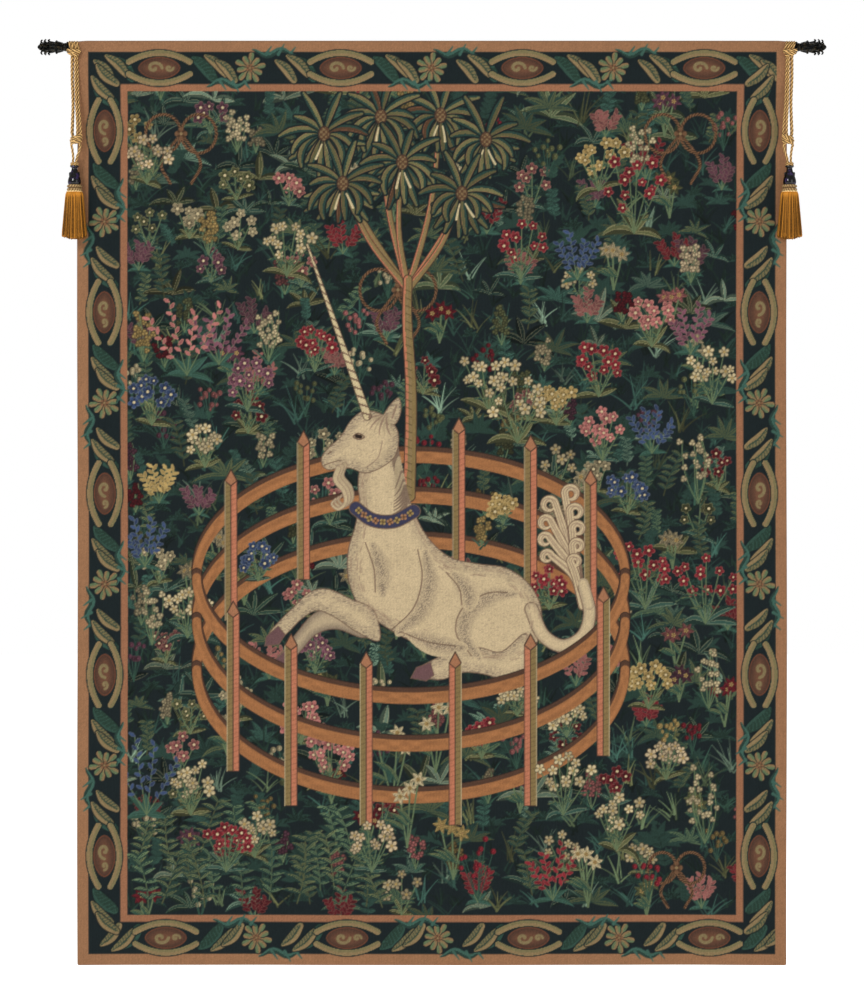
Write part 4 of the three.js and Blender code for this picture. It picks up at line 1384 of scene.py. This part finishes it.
def wood_screw(side, sign, place, z, material):
    """A pan-head screw: a cross recess in front, and a thread that winds back into the wall."""
    sides, pitch = 32, 1.8 * MM
    angle = np.linspace(0, 2 * math.pi, sides, endpoint=False)
    head = [(0.0, 2.2), (0.6, 2.2), (1.1, 2.16), (1.6, 2.08), (2.1, 1.95), (2.9, 1.6), (3.6, 1.1),
            (4.2, 0.3), (4.2, 0), (2.4, 0)]
    rings = []
    for radius, height in head:
        x, y = radius * np.cos(angle), radius * np.sin(angle)
        cross = (np.minimum(np.abs(x), np.abs(y)) < 0.45) & (radius < 2.0) & (radius > 0)
        rings.append(np.column_stack([x, y, np.where(cross | (radius == 0), height - 1.1, height)]))
    for height in np.arange(-0.4, -25.6, -0.3):
        core = 1.5 * min(1, (25.8 + height) / 5)
        saw = np.abs(((height * MM / pitch - angle / (2 * math.pi)) % 1) - 0.5) * 2
        radius = core + 0.75 * np.clip(saw * 2.2 - 1.2, 0, 1) * (height < -4) * min(1, (26 + height) / 4)
        rings.append(np.column_stack([radius * np.cos(angle), radius * np.sin(angle), 0 * angle + height]))
    rings.append(np.column_stack([0.1 * np.cos(angle), 0.1 * np.sin(angle), 0 * angle - 26]))
    rings = np.array(rings) * MM
    points = np.stack([sign * HOOK_X + rings[..., 0], -2.8 * MM - rings[..., 2], z + rings[..., 1]], -1)
    made = piece(f"{side}_{place}_wood_screw", points, capped(len(rings), sides), material, "wall_brackets",
                 [f"{side}_{place}_screw"])


# ---------------------------------------------------------------- finials

# Leaf ribs as (distance along the rod, distance from its axis), in millimetres, root to tip.
TIERS = {
    "crown": ([(540, 2.8), (545.2, 4.2), (549.6, 5.8), (551.2, 8.2), (549.2, 10.5)], 6, 3.2),
    "upper": ([(534, 4.6), (540, 5.4), (544.8, 6.9), (546.2, 9.0), (544.0, 11.0)], 8, 3.4),
    "middle": ([(526, 5.4), (533, 6.2), (539.0, 7.6), (540.8, 9.4), (538.6, 11.0)], 6, 4.4),
    "lower": ([(520, 5.0), (524, 6.0), (528.6, 7.2), (530.0, 8.2), (528.0, 8.9)], 8, 4.0),
}
QUARTER = math.pi / 2  # every tier has a leaf straight up and one straight down


def acanthus(rib, width, around, sign):
    """One cast leaf: ribbed, scalloped at its sides and curling away from the axis."""
    line = spline(np.column_stack([rib, np.zeros(len(rib))]), 3)
    t = np.linspace(0, 1, len(line))
    swell = np.sin(math.pi * np.clip(0.22 + 0.78 * t, 0, 1)) ** 0.7
    half = 0.5 * width * swell * (1 + 0.16 * np.cos(19 * t)) + 0.25
    across = np.linspace(-1, 1, 9)
    tangent = np.gradient(line, axis=0)
    normal = np.column_stack([-tangent[:, 1], tangent[:, 0]])
    normal /= np.linalg.norm(normal, axis=1)[:, None]
    faces = []
    for side, thick in ((1, 0.9), (-1, 0.9)):
        dish = 0.55 * across**2 - 0.35 * np.exp(-(across / 0.22) ** 2) - 0.18 * np.cos(7 * across)
        flesh = side * thick * (1 - 0.75 * np.abs(across) ** 3)
        lift = flesh[None, :] - dish[None, :] * half[:, None] * 0.45
        along = line[:, None, 0] + normal[:, None, 0] * lift
        out = line[:, None, 1] + normal[:, None, 1] * lift
        faces.append(np.stack([out, across[None, :] * half[:, None], along], -1))
    loop = np.concatenate([faces[0], faces[1][:, ::-1]], 1)
    c, s = math.cos(around), math.sin(around)
    x, y, z = np.moveaxis(loop, -1, 0)
    return on_rod(np.stack([x * c - y * s, x * s + y * c, z], -1) * MM, sign), capped(*loop.shape[:2])


def finial(side, sign, metal):
    parts = []
    for rib, count, width in TIERS.values():
        for j in range(count):
            parts.append(acanthus(rib, width, QUARTER + 2 * math.pi * j / count, sign))
    core = [(5.35, 519.4), (5.7, 519.4), (5.7, 523), (6.6, 530), (6.0, 538), (4.4, 544), (3.0, 546.2),
            (2.35, 546.2), (2.35, 527), (5.35, 525)]
    parts.append((on_rod(turned(core, 32) * MM, sign), grid(len(core), 32, True).tolist()))
    leaves = piece(f"{side}_acanthus", *merged(parts), metal, f"{side}_finial", [f"{side}_finial_leaves"])
    neck = [(5.35, 512.1), (5.9, 512.1), (7.0, 512.7), (7.5, 513.8), (7.0, 514.9), (5.9, 515.3),
            (5.6, 515.9), (6.1, 516.6), (5.9, 517.4), (5.5, 518.2), (5.8, 519.0), (5.35, 519.0)]
    rings = turned(neck, 40)
    beads = 1 + 0.05 * np.cos(20 * np.arctan2(rings[1:6, :, 1], rings[1:6, :, 0]))
    rings[1:6, :, :2] *= beads[..., None]
    made = piece(f"{side}_beaded_ferrule", on_rod(rings * MM, sign), grid(len(neck), 40, True), metal,
                 f"{side}_finial", [f"{side}_finial_ferrule"])
    tip = [(0, 529.5), (2, 529.5), (2, 544), (3.6, 546.4), (4.9, 548.6), (5.2, 550.6), (4.4, 552.8),
           (2.9, 554.6), (1.2, 556),
           (0, 556)]
    rings = turned(tip, 40)
    flute = 1 - 0.09 * np.abs(np.cos(4 * np.arctan2(rings[3:9, :, 1], rings[3:9, :, 0]))) ** 3
    rings[3:9, :, :2] *= flute[..., None]
    made = piece(f"{side}_closed_bud", on_rod(rings * MM, sign), capped(len(tip), 40), metal,
                 f"{side}_finial",
                 [f"{side}_finial_bud"])


# ---------------------------------------------------------------- cords

# Routes run downwards, with x as the distance from the hanging's middle on either side.
STRAND_ROUTES = {
    "outer_front": [(.5062, -.0402, -.0148), (.5062, -.0403, -.045), (.5049, -.0403, -.080),
                    (.5057, -.0402, -.108),
                    (.5060, -.0398, -.1244)],
    "outer_back": [(.5052, -.0359, -.0148), (.5054, -.0359, -.045), (.5043, -.0359, -.080),
                   (.5050, -.0359, -.108),
                   (.5052, -.0356, -.1244)],
    "inner_front": [(.5012, -.0416, -.0148), (.5011, -.0416, -.045), (.5000, -.0415, -.080),
                    (.4986, -.0414, -.108),
                    (.4986, -.0414, -.1244)],
    "inner_back": [(.4992, -.0383, -.0148), (.4983, -.0383, -.045), (.4972, -.0384, -.080),
                   (.4948, -.0388, -.108),
                   (.4946, -.0386, -.1244)],
}
LEG_ROUTES = {
    "outer_leg": [(.5067, -.040, -.1392), (.5060, -.040, -.1425), (.5050, -.040, -.149),
                  (.5042, -.040, -.157),
                  (.5043, -.040, -.1640)],
    "inner_leg": [(.4949, -.040, -.1384), (.4948, -.040, -.1425), (.4963, -.040, -.149),
                  (.4988, -.040, -.1565),
                  (.5004, -.040, -.1638)],
}
# Where each strand ends inside the knot, and each leg starts inside it and ends inside the collar.
KNOT_MIDDLE = (.5008, -.0400, -.1310)
# The knot's foot.
KNOT_FOOT = (.5008, -.0400, -.1350)
COLLAR_MIDDLE = (.5025, -.0400, -.1665)
HITCH_FOOT = -.0095
HITCH_Y = -.0288
HITCH_CORD = 3.9 * MM
KNOT_CORD = 4.2 * MM


def mirrored(points, sign):
    return np.asarray(points, float) * (sign, 1, 1)


def path_length(path):
    return float(np.linalg.norm(np.diff(path, axis=0), axis=1).sum())


def crowns(proud):
    """Vertex tones from a rope's height: painted shade, dark in the grooves, pale on the crowns."""
    return np.repeat((np.clip(proud, 0, 1) ** 1.8)[:, None], 3, 1)


def rope_piece(name, body, routes, diameter, material, stands_for=(), plies=3):
    """One or more lengths of rope as a piece. Gives the piece and its first path."""
    parts, proud, paths = [], [], []
    for route in routes:
        points, faces, high, path = rope(route, diameter, plies)
        parts.append((points, faces))
        proud.append(high)
        paths.append(path)
    made = piece(name, *merged(parts), material, body, stands_for, crowns(np.concatenate(proud)))
    return made, paths[0]


def hitch_routes(sign):
    """The cord that winds round the rod and the panel's corner, then twice round its own legs."""
    turns = []
    for a in np.arange(-0.55 * math.pi, 7.4 * math.pi, math.pi / 10):
        x = .4972 + .0034 * (a / math.pi + 0.55) / 2 + .0011 * math.sin(a)
        turns.append((x, HITCH_Y - .0097 * math.cos(a), -.0002 + .0066 * math.sin(a)))
    routes = [turns]
    for z, half, middle, tilt in ((-.0068, .0086, .5034, .0006), (-.0098, .0074, .5030, -.0008),
                                  (-.0128, .0050, .5028, .0007)):
        loop = [(middle + half * math.cos(a), -.0408 + .0031 * math.sin(a), z + tilt * math.cos(a))
                for a in np.linspace(0.4 * math.pi, 2.45 * math.pi, 26)]
        routes.append(loop)
    return [mirrored(r, sign) for r in routes]


def knot_routes(sign):
    """A wrapped knot: slanting turns round the strands, and the crossing part in front."""
    routes = []
    for x, z, half, deep, tilt in ((.4999, -.1283, .0066, .0046, -.0016),
                                   (.5003, -.1318, .0070, .0050, -.0016),
                                   (.5003, -.1353, .0064, .0046, -.0012)):
        routes.append([(x + half * math.cos(a), -.0402 + deep * math.sin(a), z + tilt * math.cos(a))
                       for a in np.linspace(0, 2.05 * math.pi, 26)])
    routes.append([(.5068, -.0415, -.1376), (.5048, -.0448, -.1352), (.5008, -.0464, -.1312),
                   (.4962, -.0452, -.1272),
                   (.4926, -.0420, -.1256)])
    return [mirrored(r, sign) for r in routes]


def cords(side, sign, gold):
    """The hitch, four strands, knot and two legs. Gives the legs."""
    hitch, _ = rope_piece(f"{side}_rope_hitch", "panel", hitch_routes(sign), HITCH_CORD, gold,
                          [f"{side}_cord_hitch"])
    knot, _ = rope_piece(f"{side}_rope_knot", f"{side}_cord", knot_routes(sign), KNOT_CORD, gold,
                         [f"{side}_cord_knot"])
    for name, route in STRAND_ROUTES.items():
        top = (*route[0][:2], HITCH_FOOT)
        route = mirrored([top, *route, KNOT_MIDDLE], sign)
        strand, path = rope_piece(f"{side}_{name}_rope", None, [route], CORD, gold, [f"{side}_cord_{name}"])
        tuple(path[0])
        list(path[0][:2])
        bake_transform(strand)
        tuple(path[0])
        path_length(path)
    legs = []
    for name, route in LEG_ROUTES.items():
        route = mirrored([KNOT_MIDDLE, *route, COLLAR_MIDDLE], sign)
        made, path = rope_piece(f"{side}_{name}_rope", None, [route], CORD, gold, [f"{side}_cord_{name}"])
        start = mirrored(KNOT_FOOT, sign)
        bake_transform(made)
        legs.append((made, path))
    return legs


# ---------------------------------------------------------------- tassels

def tassel_collar(side, sign, gold):
    loops = []
    turn = np.linspace(0, 2.06 * math.pi, 28)
    for z, radius in ((-.1653, .0046), (-.1676, .0047)):
        loop = np.column_stack([radius * np.cos(turn), radius * np.sin(turn), z + 0 * turn])
        loops.append(on_tassel(loop, sign))
    made, _ = rope_piece(f"{side}_bound_collar", f"{side}_tassel", loops, 2.6 * MM, gold,
                         [f"{side}_tassel_collar"])
    return made


URN = [(0, -214), (6, -214), (6, -195.2), (8.2, -195), (9.0, -193.6), (9.2, -191), (8.7, -187.6),
       (7.5, -184), (6.2, -180.6),
       (5.2, -177.6), (4.4, -175), (3.9, -173), (4.1, -171.8), (5.4, -170.9), (6.1, -170), (6.1, -169.2),
       (5.4, -168.5), (0, -168.5)]


def urn(side, sign, black):
    """The lacquered wooden head, with a carved scroll on either shoulder and one in front."""
    profile = spline_profile(URN, 3)
    sides = 48
    parts = [(on_tassel(turned(profile, sides) * MM, sign), capped(len(profile), sides))]
    for turn in (0, 0.5, 1, 1.5):
        scroll = []
        for a in np.linspace(0, 2.6 * math.pi, 34):
            reach = 1.6 * (1 - 0.27 * a / math.pi)
            scroll.append((5.6 + reach * math.cos(a - 0.5), 0, -179.4 + reach * math.sin(a - 0.5)))
        scroll = [(5.6, 0, -185.6), (6.9, 0, -183.0)] + scroll
        line = np.array(scroll)
        c, s = math.cos(math.pi * turn), math.sin(math.pi * turn)
        line = np.column_stack([line[:, 0] * c, line[:, 0] * s, line[:, 2]])
        points, faces, _, _ = rope(on_tassel(line * MM, sign), 1.3 * MM, 2, 99.0, 8)
        parts.append((points, faces))
    made = piece(f"{side}_lacquered_urn", *merged(parts), black, f"{side}_tassel", [f"{side}_tassel_head"])
    return made


def spline_profile(points, steps):
    line = spline(np.column_stack([points, np.zeros(len(points))]), steps)[:, :2]
    line[:, 0] = np.maximum(line[:, 0], 0)
    return line


def ruched_band(side, sign, braid):
    """Two rolls of gathered braid with a groove sunk between them, painted dark as shade, and a lip over
    the fringe, painted pale as a highlight.
    """
    profile = [(6.3, -195.4), (8.2, -195.3), (9.6, -195.9), (10.4, -197.4), (9.9, -198.9), (8.3, -199.7),
               (9.9, -200.6),
               (10.5, -202.0), (9.9, -203.3), (9.3, -203.8), (10.6, -204.2), (10.9, -205.0),
               (10.6, -205.8), (6.3, -205.8)]
    # painted shade and highlight, by row of the profile: darkest in the groove between the rolls, palest on
    # the lip
    tint = np.array([0.3, 0.45, 0.5, 0.45, 0.2, 0.0, 0.2, 0.45, 0.35, 0.1, 1.0, 1.0, 1.0, 0.6])[:, None]
    sides = 168
    rings = turned(profile, sides)
    around = np.arctan2(rings[..., 1], rings[..., 0])
    lift = np.clip((np.array(profile)[:, 0] - 8.0) / 2, 0, 1)[:, None]
    pleat = np.cos(16 * around + 0.8 * np.sin(3 * around) + 0.9 * rings[..., 2])
    rings[..., :2] *= (1 + 0.035 * lift * pleat)[..., None]
    # painted shade and highlight: the gathers are paler on their crests and darker in their folds
    tones = np.repeat(np.clip(tint + 0.34 * lift * pleat, 0, 1).ravel()[:, None], 3, 1)
    made = piece(f"{side}_ruched_band", on_tassel(rings * MM, sign), grid(len(profile), sides, True), braid,
                 f"{side}_tassel", [f"{side}_tassel_band"], tones)
    return made


YARNS = 460
FRINGE_TOP = -205.2  # millimetres, like the profiles of the urn and the band
FRINGE_LENGTH = 65.4


def fringe(side, sign, yarn):
    """The skirt: a core wound with yarns that hang from the band, some a little long or astray."""
    rng = np.random.default_rng(21)
    down = np.array([0, 0.05, 0.14, 0.3, 0.5, 0.72, 0.9, 1.0])
    across = np.interp(down, [0, 0.05, 0.14, 0.5, 1], [10.4, 11.7, 12.5, 14.6, 17.4])
    deep = np.interp(down, [0, 0.05, 0.14, 0.5, 1], [9.0, 9.9, 10.6, 11.6, 12.3])
    parts, tones = [], []
    angle = np.linspace(0, 2 * math.pi, 40, endpoint=False)
    core = np.stack([0.9 * across[:, None] * np.cos(angle), 0.9 * deep[:, None] * np.sin(angle),
                     -205.3 - 63.5 * down[:, None] + 0 * angle], -1)
    parts.append((on_tassel(core * MM, sign), capped(len(down), len(angle))))
    # painted shade: the core is dark all over, under the yarns
    tones.append(np.full(core.shape[:2], 0.12).ravel())
    section = np.linspace(0, 2 * math.pi, 5, endpoint=False)
    # Each yarn is paler where it is bound, a painted highlight under the band, and a little paler at its
    # tip.
    top_highlight = np.array([0.9, 0.75, 0.2, 0.05, 0, -0.02, 0, 0.1])[:, None]
    for k in range(YARNS):
        layer = rng.integers(3)
        a = 2 * math.pi * (k + rng.uniform(-0.6, 0.6)) / YARNS
        inset = 1 - 0.055 * layer
        stray = np.cumsum(rng.normal(0, 0.008, len(down)))
        length = FRINGE_LENGTH - 3.2 * math.cos(a) ** 2 + rng.normal(0, 0.8)
        wander = a + stray
        x, y = inset * across * np.cos(wander), inset * deep * np.sin(wander)
        centre = np.column_stack([x, y, FRINGE_TOP - length * down])
        thick = rng.uniform(0.5, 0.72) * np.array([0.9, 1.1, 1.0, 1.0, 1.0, 1.0, 1.0, 0.75])
        out = np.array([math.cos(a), math.sin(a), 0])
        side_ways = np.array([-math.sin(a), math.cos(a), 0])
        spokes = np.cos(section)[:, None] * out + np.sin(section)[:, None] * side_ways
        rings = centre[:, None] + thick[:, None, None] * spokes
        parts.append((on_tassel(rings * MM, sign), capped(len(down), len(section))))
        # painted shade: the yarns of the inner layers are darker
        own = rng.uniform(-0.2, 1.0) - 0.16 * layer
        tones.append((own + top_highlight + 0 * section).ravel())
    tones = np.repeat(np.clip(np.concatenate(tones), 0, 1)[:, None], 3, 1)
    made = piece(f"{side}_fringe_skirt", *merged(parts), yarn, f"{side}_tassel", [f"{side}_tassel_skirt"],
                 tones)
    return made


# ---------------------------------------------------------------- the whole hanging

def build():
    camera()
    gold = silk("gold_cord", (0.16, 0.08, 0.01), (0.96, 0.77, 0.49), 1500, 0.6, 0.2)
    braid = silk("gold_braid", (0.26, 0.14, 0.02), (0.97, 0.82, 0.57), 1200, 0.55, 0.2)
    yarn = silk("fringe_yarn", (0.13, 0.06, 0.00), (0.84, 0.56, 0.20), 1100, 0.6, 0.12)
    black = lacquer()
    cast = coated_metal("finial_metal", (0.02, 0.03, 0.028), (0.26, 0.22, 0.13), 0.33, 0.75)
    powder = coated_metal("bracket_metal", (0.06, 0.065, 0.07), (0.14, 0.14, 0.15), 0.5, 0.3)
    rolled = coated_metal("rod_metal", (0.05, 0.052, 0.055), (0.16, 0.16, 0.17), 0.4, 0.7)
    steel = zinc()
    for side, sign in SIDES.items():
        legs = cords(side, sign, gold)
        parts = [tassel_collar(side, sign, gold), urn(side, sign, black), ruched_band(side, sign, braid)]
        fringe(side, sign, yarn)
        for k, (leg, path) in enumerate(legs):
            tuple(path[0])
            path_length(path)
        finial(side, sign, cast)
        for place, z in SCREW_HEIGHTS.items():
            wood_screw(side, sign, place, z, steel)
    cloth = woven()
    face = picture_cloth(cloth)
    edge = turned_edge(cloth)
    cream = cotton("lining_cotton", (0.74, 0.66, 0.52), 1.4 * MM)
    canvas = cotton("sleeve_cotton", (0.70, 0.62, 0.48), 1.8 * MM, 0.78)
    back = lining_cloth(cream)
    sleeve = rod_sleeve(canvas)
    seams = lining_stitches(thread("linen_thread", (0.85, 0.80, 0.68)))
    rows = sleeve_stitches(thread("sleeve_thread", (0.80, 0.74, 0.60)))
    rod_bar(rolled)
    brackets(powder)
    studio()
    floor()


build()
